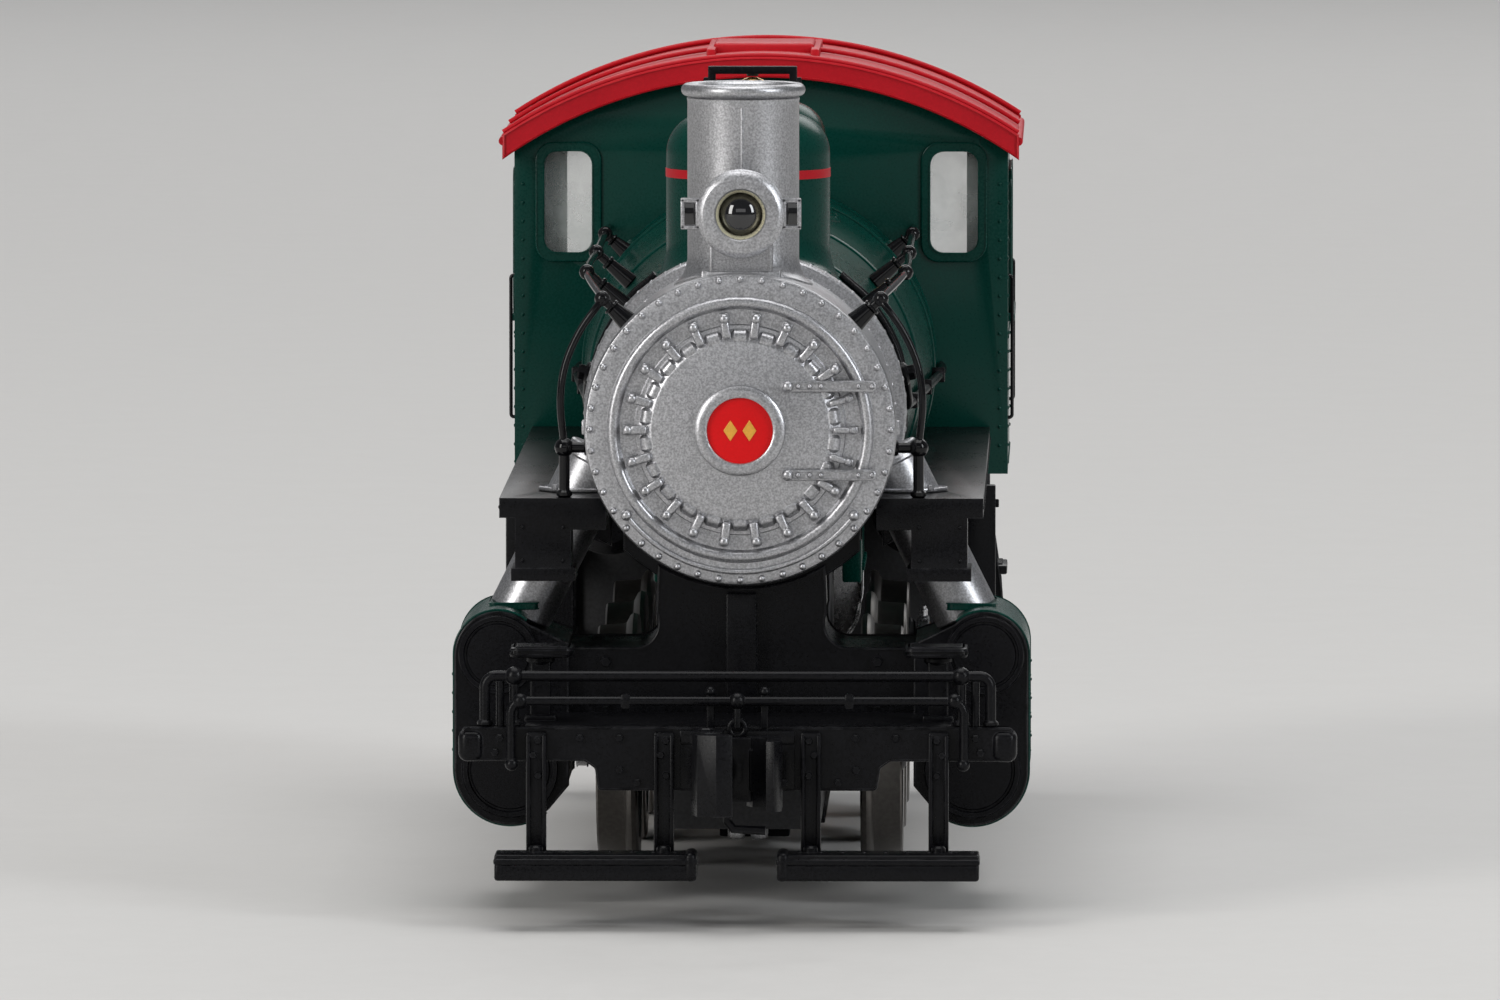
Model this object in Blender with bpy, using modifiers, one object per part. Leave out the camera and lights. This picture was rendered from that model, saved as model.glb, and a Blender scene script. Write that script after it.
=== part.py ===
"""A small-scale model of a six-coupled steam switching locomotive.

The origin is on the rail tops, on the centreline, under the main driving axle, at the middle of the
flat pad under the gearbox. The engine faces -Y, +Z is up, and +X is the engine's left-hand side.
Every dimension below is in millimetres; MM turns one into Blender's metres.
"""

import math

import bmesh
import bpy
from mathutils import Matrix, Vector

MM = 0.001
ROUND = 26
WHEEL_ROUND = 24
SMALL_ROUND = 12
GAP = 0.06
RUNNING = 0.08

# Wheels, axles and rods
AXLE_SPACING = 19.0
TREAD_RADIUS = 7.5
FLANGE_RADIUS = 8.2
WHEEL_BACK = 7.2
WHEEL_FACE = 9.9
AXLE_RADIUS = 1.5
AXLE_END_RADIUS = 1.0
CRANK_THROW = 3.6
PIN_RADIUS = 0.75
SIDE_ROD = (10.45, 11.25)
MAIN_ROD = (11.75, 12.45)
SPOKES = 8

# Gear drive
GEAR_MODULE = 0.4
GEAR_TEETH = 28
WORM_PITCH_RADIUS = 2.4
SHAFT_RADIUS = 0.75
WORM_TURNS = 4
SHAFT_Z = TREAD_RADIUS + GEAR_MODULE * GEAR_TEETH / 2 + WORM_PITCH_RADIUS

# Frame
FRAME_HALF_WIDTH = 5.0
FRAME_FRONT = -61.2
FRAME_REAR = 38.0
FRAME_BOTTOM = 4.6
FRAME_TOP = 10.2

# Boiler and smokebox, on one level centreline
BOILER_Z = 30.0
SMOKEBOX_RADIUS = 9.6
SMOKEBOX_BAND_RADIUS = 10.3
SMOKEBOX_FRONT = -54.0
SMOKEBOX_REAR = -36.0
BOILER_FRONT_RADIUS = 9.9
BOILER_REAR_RADIUS = 11.6
TAPER_FRONT = -22.0
TAPER_REAR = 8.0
SHELL_WALL = 0.9

# Handrails beside the boiler
RAIL_X = 10.2
RAIL_POSTS = (-34.5, -12.5, 9.0)

# Along the top of the boiler
STACK_Y = -44.0
SAND_DOME_Y = -28.0
BELL_Y = -13.0
STEAM_DOME_Y = 4.0
HEADLIGHT_Z = 43.5
STACK_TOP = 51.4
SAND_DOME_TOP = 49.0
STEAM_DOME_TOP = 48.2
BELL_TOP = 50.3
BELL_BRACKET_TOP = 51.0

# Cylinders
CYLINDER_X = 14.4
CYLINDER_Z = 8.2
CYLINDER_RADIUS = 3.65
CASING_X = 14.63
VALVE_X = 15.4
VALVE_Z = 15.5
VALVE_RADIUS = 2.88
PIPE_TOP = (9.2, 27.6)
PIPE_FOOT = (14.35, 17.3)
PIPE_RADIUS = 2.05
JACKET_WALL = 0.4
CYLINDER_FRONT = -50.5
CYLINDER_REAR = -37.8
WRIST_FRONT = -31.0
PISTON_ROD_RADIUS = 0.6

# Running boards
BOARD_TOP = 25.45
BOARD_THICKNESS = 1.26
BOARD_EDGE = 15.3
BOARD_FRONT = -51.0

# Cab
CAB_FRONT = 17.0
CAB_REAR = 39.0
CAB_HALF_WIDTH = 16.5
CAB_WALL = 1.0
CAB_BOTTOM = 22.3
FLOOR_TOP = 23.5
ROOF_HALF_WIDTH = 17.25
ROOF_APEX = 50.3
ROOF_RADIUS = 31.2
ROOF_THICKNESS = 1.4
FRONT_WINDOW = ((11.2, 14.6), (37.0, 44.0))
SIDE_WINDOW = ((22.0, 34.5), (33.0, 42.0))

# Pilot and coupler
BEAM_FRONT = -62.6
BEAM_BACK = -61.4
BEAM_TOP = 11.9
DECK_BOTTOM = 10.9
COUPLER_PIVOT_Y = -57.0
COUPLER_Z = 9.4
KNUCKLE_PIVOT = (-1.9, -66.1)
DRAWBAR_PIVOT_Y = 32.0

SIDES = {"left": 1, "right": -1}
PARTS_COLLECTION = "steam_switcher"
HELPERS_COLLECTION = "cutters"

UP = Matrix.Identity(4)
FRONT = Matrix.Rotation(math.radians(90), 4, "X")
LEFT = Matrix.Rotation(math.radians(90), 4, "Y")
SIDEWAYS = Matrix(((0, 0, 1, 0), (1, 0, 0, 0), (0, 1, 0, 0), (0, 0, 0, 1)))


# ---------------------------------------------------------------- scene and materials


def clear_scene():
    for obj in list(bpy.data.objects):
        bpy.data.objects.remove(obj, do_unlink=True)


def make_collection(name):
    collection = bpy.data.collections.new(name)
    bpy.context.scene.collection.children.link(collection)


def objects_in(name):
    return bpy.data.collections[name].objects


def make_material(name, color, roughness, metallic):
    material = bpy.data.materials.new(name)
    material.use_nodes = True
    shader = material.node_tree.nodes["Principled BSDF"]
    shader.inputs["Base Color"].default_value = (*color, 1.0)
    shader.inputs["Roughness"].default_value = roughness
    shader.inputs["Metallic"].default_value = metallic
    return material


FINISHES = {
    "silver": ((0.52, 0.53, 0.54), 0.38, 0.85),
    "black": ((0.012, 0.012, 0.013), 0.45, 0.0),
    "green": ((0.004, 0.05, 0.035), 0.4, 0.0),
    "red": ((0.5, 0.012, 0.016), 0.4, 0.0),
    "steel": ((0.45, 0.45, 0.46), 0.3, 1.0),
    "brass": ((0.7, 0.45, 0.14), 0.3, 1.0),
    "casting": ((0.16, 0.16, 0.17), 0.5, 0.8),
    "glass": ((0.8, 0.85, 0.85), 0.05, 0.0),
    "board": ((0.02, 0.16, 0.06), 0.5, 0.0),
    "nylon": ((0.75, 0.72, 0.62), 0.5, 0.0),
}


# ---------------------------------------------------------------- shapes


def helper(name, mesh, placing=UP):
    """A hidden object that holds one shape, until it becomes a part or a Boolean's operand."""
    obj = bpy.data.objects.new(name, mesh)
    obj.matrix_world = placing
    obj.hide_render = True
    obj.display_type = "WIRE"
    objects_in(HELPERS_COLLECTION).link(obj)
    return obj


def mesh_from(bm, name):
    bmesh.ops.scale(bm, vec=(MM, MM, MM), verts=bm.verts)
    mesh = bpy.data.meshes.new(name)
    bm.to_mesh(mesh)
    bm.free()
    return mesh


def box(x, y, z):
    """A block between two limits on each axis."""
    limits = [sorted(pair) for pair in (x, y, z)]
    centre = Vector([(low + high) / 2 for low, high in limits])
    size = [high - low for low, high in limits]
    bm = bmesh.new()
    scale = Matrix.Diagonal((*size, 1.0))
    bmesh.ops.create_cube(bm, size=1.0, matrix=Matrix.Translation(centre) @ scale)
    return helper("box", mesh_from(bm, "box"))


def cylinder(start, end, radius, segments=SMALL_ROUND):
    """A round bar from one point to another."""
    start = Vector(start)
    along = Vector(end) - start
    turn = along.to_track_quat("Z", "Y").to_matrix().to_4x4()
    bm = bmesh.new()
    bmesh.ops.create_cone(
        bm,
        cap_ends=True,
        segments=segments,
        radius1=radius,
        radius2=radius,
        depth=along.length,
        matrix=Matrix.Translation(start + along / 2) @ turn,
    )
    return helper("cylinder", mesh_from(bm, "cylinder"))


def ball(centre, radius):
    bm = bmesh.new()
    place = Matrix.Translation(Vector(centre))
    bmesh.ops.create_icosphere(bm, subdivisions=1, radius=radius, matrix=place)
    return helper("ball", mesh_from(bm, "ball"))


def turned(profile, placing=UP, segments=ROUND, closed=False):
    """A profile of (radius, height) points, running down its outer side, turned about local Z."""
    bm = bmesh.new()
    points = [bm.verts.new((radius, 0.0, height)) for radius, height in profile]
    for one, two in zip(points, points[1:]):
        bm.edges.new((one, two))
    if closed:
        bm.edges.new((points[-1], points[0]))
    move = Matrix.Translation(placing.translation * MM) @ placing.to_3x3().to_4x4()
    obj = helper("turned", mesh_from(bm, "turned"), move)
    screw = obj.modifiers.new("turn", "SCREW")
    screw.axis = "Z"
    screw.angle = math.tau
    screw.steps = segments
    screw.render_steps = segments
    screw.use_merge_vertices = True
    screw.merge_threshold = 0.00001
    screw.use_smooth_shade = True
    return obj


def solid_from_curve(curve, placing):
    """The curve's evaluated mesh, with its caps welded to its sides."""
    obj = bpy.data.objects.new("curve", curve)
    objects_in(HELPERS_COLLECTION).link(obj)
    obj.matrix_world = placing
    bpy.context.view_layer.update()
    mesh = bpy.data.meshes.new_from_object(obj.evaluated_get(bpy.context.evaluated_depsgraph_get()))
    bm = bmesh.new()
    bm.from_mesh(mesh)
    bmesh.ops.remove_doubles(bm, verts=bm.verts, dist=0.0000005)
    bmesh.ops.recalc_face_normals(bm, faces=bm.faces)
    bm.to_mesh(mesh)
    bm.free()
    solid = helper("shape", mesh, obj.matrix_world.copy())
    bpy.data.objects.remove(obj)
    return solid


def add_spline(curve, points, cyclic):
    spline = curve.splines.new("POLY")
    spline.points.add(len(points) - 1)
    for point, position in zip(spline.points, points):
        point.co = (*[value * MM for value in position], 1.0)
    spline.use_cyclic_u = cyclic


def plate(outlines, limits, placing):
    """Flat outlines, the first around the rest, made solid between two heights on local Z."""
    low, high = sorted(limits)
    curve = bpy.data.curves.new("outline", "CURVE")
    curve.dimensions = "2D"
    curve.fill_mode = "BOTH"
    curve.extrude = (high - low) / 2 * MM
    for outline in outlines:
        add_spline(curve, [(x, y, 0.0) for x, y in outline], True)
    return solid_from_curve(curve, placing @ Matrix.Translation((0.0, 0.0, (low + high) / 2 * MM)))


def facing_plate(outlines, y):
    """A plate whose outlines are (x, z) points, between two values of y."""
    return plate(outlines, (-y[0], -y[1]), FRONT)


def side_plate(outlines, x):
    """A plate whose outlines are (y, z) points, between two values of x."""
    return plate(outlines, x, SIDEWAYS)


def level_plate(outlines, z):
    """A plate whose outlines are (x, y) points, between two heights."""
    return plate(outlines, z, UP)


def wire(points, radius):
    curve = bpy.data.curves.new("wire", "CURVE")
    curve.dimensions = "3D"
    curve.bevel_depth = radius * MM
    curve.bevel_resolution = 1
    curve.use_fill_caps = True
    add_spline(curve, points, False)
    return solid_from_curve(curve, UP)


def arc(centre, radius, start, end, steps):
    """Points on an arc, from one angle in degrees to another."""
    angles = [math.radians(start + (end - start) * i / steps) for i in range(steps + 1)]
    return [(centre[0] + radius * math.cos(a), centre[1] + radius * math.sin(a)) for a in angles]


def ring(centre, radius, segments=SMALL_ROUND):
    return arc(centre, radius, 0.0, 360.0 * (segments - 1) / segments, segments - 1)


def rounded(points, radius, steps=3, closed=True):
    """The same path with each corner replaced by an arc."""
    path = [Vector(point) for point in points]
    count = len(path)
    result = []
    for i, corner in enumerate(path):
        if not closed and i in (0, count - 1):
            result.append(tuple(corner))
            continue
        before = (path[i - 1] - corner).normalized()
        after = (path[(i + 1) % count] - corner).normalized()
        half_angle = before.angle(after) / 2
        if half_angle > math.radians(89):
            result.append(tuple(corner))
            continue
        centre = corner + (before + after).normalized() * (radius / math.sin(half_angle))
        reach = radius / math.tan(half_angle)
        start = corner + before * reach - centre
        end = corner + after * reach - centre
        for k in range(steps + 1):
            result.append(tuple(centre + start.slerp(end, k / steps).normalized() * radius))
    return result


def rectangle(x, y):
    return [(x[0], y[0]), (x[1], y[0]), (x[1], y[1]), (x[0], y[1])]


def mirrored(x, side):
    """Limits on X for one side of the engine."""
    return (side * x[0], side * x[1])


# ---------------------------------------------------------------- joining, cutting, naming


def combine(target, operation, tools):
    for tool in tools:
        boolean = target.modifiers.new(operation.lower(), "BOOLEAN")
        boolean.operation = operation
        boolean.solver = "EXACT"
        boolean.object = tool
    return target


def join(target, *tools):
    return combine(target, "UNION", tools)


def cut(target, *tools):
    return combine(target, "DIFFERENCE", tools)


def pivot(name, x, y, z):
    """An empty on a joint's axis, which the pieces that turn or slide there hang from."""
    empty = bpy.data.objects.new(name, None)
    empty.empty_display_size = 0.002
    empty.location = (x * MM, y * MM, z * MM)
    objects_in(PARTS_COLLECTION).link(empty)
    return empty


def part(name, shape, finish, parent):
    """Makes a shape a named piece of the engine, hanging from the given empty."""
    objects_in(HELPERS_COLLECTION).unlink(shape)
    objects_in(PARTS_COLLECTION).link(shape)
    shape.name = name
    shape.data.name = name
    shape.hide_render = False
    shape.display_type = "TEXTURED"
    material = bpy.data.materials.get(finish) or make_material(finish, *FINISHES[finish])
    shape.data.materials.clear()
    shape.data.materials.append(material)
    shape.data.shade_smooth()
    shape.data.set_sharp_from_angle(angle=math.radians(35))
    shape.parent = parent
    shape.matrix_parent_inverse = Matrix.Translation(-parent.location)
    return shape


# ---------------------------------------------------------------- boiler


def boiler_radius(y):
    """The outer radius of the smokebox and boiler at one place along the engine."""
    if y < SMOKEBOX_REAR:
        return SMOKEBOX_RADIUS
    share = min(max((y - TAPER_FRONT) / (TAPER_REAR - TAPER_FRONT), 0.0), 1.0)
    return BOILER_FRONT_RADIUS + (BOILER_REAR_RADIUS - BOILER_FRONT_RADIUS) * share


def on_boiler_axis():
    return Matrix.Translation((0.0, 0.0, BOILER_Z)) @ FRONT


def boiler_space(gap):
    """The space that the smokebox and boiler fill, with a gap around it."""
    band = -SMOKEBOX_REAR + 2.6
    return turned(
        [
            (0.0, 53.0),
            (SMOKEBOX_RADIUS + gap, 53.0),
            (SMOKEBOX_RADIUS + gap, band),
            (SMOKEBOX_BAND_RADIUS + gap, band),
            (SMOKEBOX_BAND_RADIUS + gap, -SMOKEBOX_REAR),
            (BOILER_FRONT_RADIUS + gap, -SMOKEBOX_REAR),
            (BOILER_FRONT_RADIUS + gap, -TAPER_FRONT),
            (BOILER_REAR_RADIUS + gap, -TAPER_REAR),
            (BOILER_REAR_RADIUS + gap, -CAB_FRONT - 1.0),
            (0.0, -CAB_FRONT - 1.0),
        ],
        on_boiler_axis(),
    )


def make_boiler(root):
    rear = -(CAB_FRONT - GAP)
    shell = turned(
        [
            (BOILER_FRONT_RADIUS, -SMOKEBOX_REAR - GAP),
            (BOILER_FRONT_RADIUS, -TAPER_FRONT),
            (BOILER_REAR_RADIUS, -TAPER_REAR),
            (BOILER_REAR_RADIUS, rear),
            (BOILER_REAR_RADIUS - SHELL_WALL, rear),
            (BOILER_REAR_RADIUS - SHELL_WALL, -TAPER_REAR),
            (BOILER_FRONT_RADIUS - SHELL_WALL, -TAPER_FRONT),
            (BOILER_FRONT_RADIUS - SHELL_WALL, -SMOKEBOX_REAR - GAP),
        ],
        on_boiler_axis(),
        closed=True,
    )
    for side in SIDES.values():
        join(shell, box(mirrored((5.6, 6.9), side), (5.0, 16.8), (15.9, 21.2)))
    part("boiler_shell", shell, "green", root)

    weight = cylinder((0, -31, BOILER_Z), (0, 14, BOILER_Z), 8.7, ROUND)
    cut(weight, box((-12, 12), (-40, 20), (BOILER_Z + 2.5, BOILER_Z + 12)))
    part("boiler_weight", weight, "casting", root)
    part("circuit_board", box((-6.5, 6.5), (-28, 8), (BOILER_Z + 2.6, BOILER_Z + 3.6)), "board", root)


def make_smokebox(root):
    band = -SMOKEBOX_REAR + 2.5
    barrel = turned(
        [
            (SMOKEBOX_RADIUS, 52.5),
            (SMOKEBOX_RADIUS, band),
            (SMOKEBOX_BAND_RADIUS, band - 0.15),
            (SMOKEBOX_BAND_RADIUS, -SMOKEBOX_REAR),
            (SMOKEBOX_RADIUS - SHELL_WALL, -SMOKEBOX_REAR),
            (SMOKEBOX_RADIUS - SHELL_WALL, 52.5),
        ],
        on_boiler_axis(),
        closed=True,
    )
    part("smokebox", barrel, "silver", root)

    face = -SMOKEBOX_FRONT
    front = turned(
        [
            (0.0, face + 0.6),
            (5.7, face + 0.6),
            (6.4, face + 0.3),
            (6.9, face),
            (7.7, face),
            (8.05, face + 0.35),
            (8.4, face),
            (9.7, face),
            (9.85, face - 0.15),
            (9.85, 52.6),
            (8.6, 52.6),
            (8.6, 51.2),
            (0.0, 51.2),
        ],
        on_boiler_axis(),
    )
    for height in (-2.8, 2.8):
        middle = BOILER_Z + height
        strap = rounded(rectangle((2.9, 8.7), (middle - 0.29, middle + 0.29)), 0.25, 2)
        join(front, facing_plate([strap], (-55.1, -53.8)))
    join(front, cylinder((6.2, -54.8, BOILER_Z - 3.6), (6.2, -54.8, BOILER_Z + 3.6), 0.4, 10))
    part("smokebox_front", front, "silver", root)

    number_plate = turned(
        [(0.0, 55.0), (2.1, 55.0), (2.25, 55.3), (2.7, 55.3), (2.87, 55.1), (2.87, 54.66), (0.0, 54.66)],
        on_boiler_axis(),
        24,
    )
    part("number_plate", number_plate, "red", root)


def make_stack_and_headlight(root):
    stack = turned(
        [
            (0.0, 45.0),
            (2.9, 45.0),
            (3.0, STACK_TOP - 0.1),
            (3.5, STACK_TOP),
            (3.95, STACK_TOP - 0.3),
            (3.95, STACK_TOP - 0.8),
            (3.55, STACK_TOP - 1.2),
            (3.55, 41.4),
            (4.4, 40.3),
            (4.4, 37.0),
            (0.0, 37.0),
        ],
        Matrix.Translation((0.0, STACK_Y, 0.0)),
        24,
    )
    cut(stack, boiler_space(GAP))
    part("smokestack", stack, "silver", root)

    placing = Matrix.Translation((0.0, 0.0, HEADLIGHT_Z)) @ FRONT
    housing = turned(
        [
            (0.0, 50.2),
            (1.6, 50.2),
            (1.6, 53.0),
            (2.2, 53.15),
            (2.75, 52.9),
            (2.75, 52.2),
            (2.45, 52.0),
            (2.45, 48.4),
            (0.0, 48.4),
        ],
        placing,
        20,
    )
    pedestal = cut(box((-2.05, 2.05), (-51.9, -48.7), (38.5, HEADLIGHT_Z - 1.9)), boiler_space(GAP))
    join(housing, pedestal)
    for side in SIDES.values():
        number_board = (HEADLIGHT_Z - 0.95, HEADLIGHT_Z + 0.95)
        join(housing, box(mirrored((2.0, 3.8), side), (-51.8, -50.4), number_board))
    part("headlight_housing", housing, "silver", root)

    lens = turned([(0.0, 52.9), (0.8, 52.6), (1.5, 51.6), (1.5, 50.3), (0.0, 50.3)], placing, 16)
    part("headlight_lens", lens, "glass", root)


def dome(y, radius, top, corner):
    """A dome with a rounded top corner and a flared foot, cut to sit on the boiler."""
    shoulder = arc((radius - corner, top - corner - 0.3), corner, 90.0, 0.0, 4)
    foot = BOILER_Z + boiler_radius(y) + 1.1
    profile = [(0.0, top), *shoulder, (radius, foot), (radius + 0.75, foot - 1.3)]
    profile += [(radius + 0.75, BOILER_Z + 5.0), (0.0, BOILER_Z + 5.0)]
    shape = turned(profile, Matrix.Translation((0.0, y, 0.0)), 22)
    return cut(shape, boiler_space(GAP))


def make_boiler_fittings(root):
    part("sand_dome", dome(SAND_DOME_Y, 5.45, SAND_DOME_TOP, 2.6), "green", root)
    part("steam_dome", dome(STEAM_DOME_Y, 4.8, STEAM_DOME_TOP, 2.6), "green", root)

    bell = turned(
        [
            (0.0, 0.0),
            (0.5, -0.1),
            (1.0, -0.6),
            (1.25, -2.3),
            (1.6, -3.7),
            (2.15, -4.6),
            (1.8, -4.7),
            (1.0, -2.7),
            (0.0, -2.1),
        ],
        Matrix.Translation((0.0, BELL_Y, BELL_TOP)),
        16,
    )
    part("bell", bell, "brass", root)

    base = BOILER_Z + boiler_radius(BELL_Y)
    bracket = box((-3.0, 3.0), (BELL_Y - 1.0, BELL_Y + 1.0), (base - 1.5, base + 0.8))
    cut(bracket, boiler_space(GAP))
    top = BELL_BRACKET_TOP
    yoke = [(2.9, base + 0.4), (2.9, top), (-2.9, top), (-2.9, base + 0.4)]
    inner = [(-2.4, base + 0.4), (-2.4, top - 0.5), (2.4, top - 0.5), (2.4, base + 0.4)]
    join(bracket, facing_plate([[*yoke, *inner]], (BELL_Y - 0.4, BELL_Y + 0.4)))
    join(bracket, cylinder((0, BELL_Y, BELL_TOP + GAP), (0, BELL_Y, top - 0.2), 0.4, 8))
    part("bell_bracket", bracket, "black", root)

    for name, side in SIDES.items():
        part(f"handrail_{name}", handrail(side), "black", root)


def post_foot(post):
    """Where a handrail post meets the boiler, on the line from its axis."""
    x, y, z = post
    share = (boiler_radius(y) + 0.06 + GAP) / math.hypot(x, z - BOILER_Z)
    return (x * share, y, BOILER_Z + (z - BOILER_Z) * share)


def handrail(side):
    """The rail along one side of the boiler, bowed down at the smokebox to the running board."""
    front, level = -50.2, 38.8
    bow = [(11.2, 25.52), (11.2, 28.6), (11.5, 31.0), (11.2, 33.4), (10.2, 36.0)]
    path = [(side * x, front, z) for x, z in bow]
    posts = [(side * 8.8, front + 0.5, 38.0)]
    posts += [(side * RAIL_X, y, level) for y in RAIL_POSTS]
    rail = wire([*path, *posts, (side * RAIL_X, 16.85, level)], 0.25)
    for post in posts:
        join(rail, cylinder(post_foot(post), post, 0.28, 8), ball(post, 0.5))
    foot = (side * 11.2, front, 28.6)
    stub_end = (side * (math.sqrt(SMOKEBOX_RADIUS**2 - (28.6 - BOILER_Z) ** 2) + 2 * GAP), front, 28.6)
    join(rail, ball(foot, 0.62), cylinder(stub_end, foot, 0.3, 8))
    return rail


# ---------------------------------------------------------------- cylinders and valve gear


def cylinder_outline(side, shrink, inner_edge):
    """The outer end of the cylinder block, as an outline that closes at inner_edge."""
    valve = arc((VALVE_X, VALVE_Z), VALVE_RADIUS - shrink, 135.0, 0.0, 6)
    barrel = arc((CASING_X, CYLINDER_Z), CYLINDER_RADIUS - shrink, 0.0, -135.0, 7)
    outline = [*valve, *barrel, (inner_edge, 7.2), (inner_edge, 16.2)]
    return [(side * x, z) for x, z in outline]


def jacket_outline(side):
    """The thin wrap around the outside of a cylinder block."""
    inner = JACKET_WALL
    outer_path = arc((VALVE_X, VALVE_Z), VALVE_RADIUS, 130.0, 0.0, 6)
    outer_path += arc((CASING_X, CYLINDER_Z), CYLINDER_RADIUS, 0.0, -130.0, 7)
    inner_path = arc((CASING_X, CYLINDER_Z), CYLINDER_RADIUS - inner, -130.0, 0.0, 7)
    inner_path += arc((VALVE_X, VALVE_Z), VALVE_RADIUS - inner, 0.0, 130.0, 6)
    return [(side * x, z) for x, z in outer_path + inner_path]


def make_cylinders(root):
    web_edge = 5.3
    cradle_top = math.degrees(math.asin(web_edge / 10.3))
    flank = [(11.1, 11.6), (11.1, 15.9), (6.9, 15.9), (5.9, 16.2), (web_edge, 17.2)]
    top = arc((0.0, BOILER_Z), 10.3, -90.0 + cradle_top, -90.0 - cradle_top, 8)
    web = [*flank, *top, *[(-x, z) for x, z in reversed(flank)]]
    casting = facing_plate([web], (-49.8, -38.6))

    outer_angle = math.degrees(math.asin(7.5 / 10.95))
    inner_angle = math.degrees(math.asin(7.5 / 9.7))
    cradle = arc((0.0, BOILER_Z), 10.95, -90.0 - outer_angle, -90.0 + outer_angle, 10)
    cradle += arc((0.0, BOILER_Z), 9.7, -90.0 + inner_angle, -90.0 - inner_angle, 12)
    join(casting, facing_plate([cradle], (-49.4, -38.9)))
    join(casting, box((-0.95, 0.95), (-50.6, -49.0), (11.6, 19.4)))
    length = (CYLINDER_FRONT, CYLINDER_REAR)
    for side in SIDES.values():
        join(casting, facing_plate([cylinder_outline(side, JACKET_WALL + GAP, 10.9)], length))
        barrel = (side * CYLINDER_X, CYLINDER_Z)
        valve = (side * VALVE_X, VALVE_Z)
        for (x, z), radius, reach in ((barrel, 3.0, 0.55), (valve, 2.1, 0.55), (valve, 1.2, 0.9)):
            back = (x, CYLINDER_FRONT + 0.3, z)
            join(casting, cylinder(back, (x, CYLINDER_FRONT - reach, z), radius))
        bore = PISTON_ROD_RADIUS + RUNNING
        cut(casting, cylinder((barrel[0], -48.8, barrel[1]), (barrel[0], -36.0, barrel[1]), bore))
    part("cylinder_saddle", casting, "black", root)

    for name, side in SIDES.items():
        jacket = facing_plate([jacket_outline(side)], (CYLINDER_FRONT + 0.1, CYLINDER_REAR))
        part(f"cylinder_jacket_{name}", jacket, "green", root)
        part(f"steam_pipe_{name}", steam_pipe(side, 0.0), "silver", root)
        part(f"crosshead_guide_{name}", crosshead_guide(side), "steel", root)


def steam_pipe(side, gap):
    """The slanting pipe from the smokebox to the valve chest; a wider, untrimmed one cuts its hole."""
    top, foot = [(side * x, STACK_Y, z) for x, z in (PIPE_TOP, PIPE_FOOT)]
    pipe = cylinder(top, foot, PIPE_RADIUS + gap, 20)
    if gap:
        return pipe
    chest = facing_plate([cylinder_outline(side, -0.14, 10.9)], (STACK_Y - 4.0, STACK_Y + 4.0))
    return cut(pipe, boiler_space(GAP), chest)


def crosshead_guide(side):
    """Two guide bars and the yoke that carries their rear ends from the running board."""
    rear = -19.5
    bar_x = mirrored((13.4, 15.4), side)
    guide = box(bar_x, (CYLINDER_REAR + 0.2, rear), (CYLINDER_Z + 2.1, CYLINDER_Z + 3.0))
    lower = box(bar_x, (CYLINDER_REAR + 0.2, rear), (CYLINDER_Z - 3.0, CYLINDER_Z - 2.1))
    yoke = box(mirrored((12.9, 15.9), side), (rear - 0.2, rear + 0.9), (CYLINDER_Z - 3.2, 24.1))
    return join(guide, lower, yoke)


# ---------------------------------------------------------------- wheels, rods, drive


def wheel_shape(pin_reach, head, has_collar):
    """A spoked driver for the left side, on the X axis, with its crank pin towards the front.

    The main wheels' pins have a collar that keeps the side rod and the main rod apart.
    """
    rim = turned(
        [
            (TREAD_RADIUS - 0.1, WHEEL_FACE),
            (TREAD_RADIUS, 8.1),
            (FLANGE_RADIUS, 7.9),
            (FLANGE_RADIUS - 0.2, WHEEL_BACK),
            (6.4, WHEEL_BACK),
            (6.4, WHEEL_FACE),
        ],
        LEFT,
        WHEEL_ROUND,
        closed=True,
    )
    windows = []
    for i in range(SPOKES):
        centre = 360.0 / SPOKES * (i + 0.5)
        outer = arc((0.0, 0.0), 6.0, centre - 16.0, centre + 16.0, 1)
        inner = arc((0.0, 0.0), 2.9, centre + 9.0, centre - 9.0, 1)
        windows.append([*outer, *inner])
    web = side_plate([ring((0.0, 0.0), 6.7, WHEEL_ROUND), *windows], (8.3, 9.3))
    hub = cylinder((WHEEL_BACK, 0, 0), (WHEEL_FACE + 0.1, 0, 0), 2.0, 12)
    boss = cylinder((8.4, -CRANK_THROW, 0), (10.3, -CRANK_THROW, 0), 1.45, 10)
    weight = arc((0.0, 0.0), 6.55, -38.0, 38.0, 4)
    balance = side_plate([weight], (8.4, 9.7))
    pin = cylinder((9.0, -CRANK_THROW, 0), (pin_reach, -CRANK_THROW, 0), PIN_RADIUS)
    cap = cylinder((head[0], -CRANK_THROW, 0), (head[1], -CRANK_THROW, 0), 1.15, 6)
    join(rim, web, hub, boss, balance, pin, cap)
    if has_collar:
        collar = (SIDE_ROD[1] + 0.05, MAIN_ROD[0] - 0.05)
        join(rim, cylinder((collar[0], -CRANK_THROW, 0), (collar[1], -CRANK_THROW, 0), 1.1))
    cut(rim, cylinder((WHEEL_BACK - 1, 0, 0), (WHEEL_FACE + 1, 0, 0), AXLE_END_RADIUS + GAP))
    return rim


def baked(shape):
    """A plain mesh of a shape's modifiers, which several objects can share."""
    bpy.context.view_layer.update()
    mesh = bpy.data.meshes.new_from_object(shape.evaluated_get(bpy.context.evaluated_depsgraph_get()))
    mesh.transform(shape.matrix_world)
    return mesh


def crank_angle(side):
    """Degrees about X from the forward crank: the left crank is a quarter turn behind the right."""
    return -90.0 if side > 0 else 0.0


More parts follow.
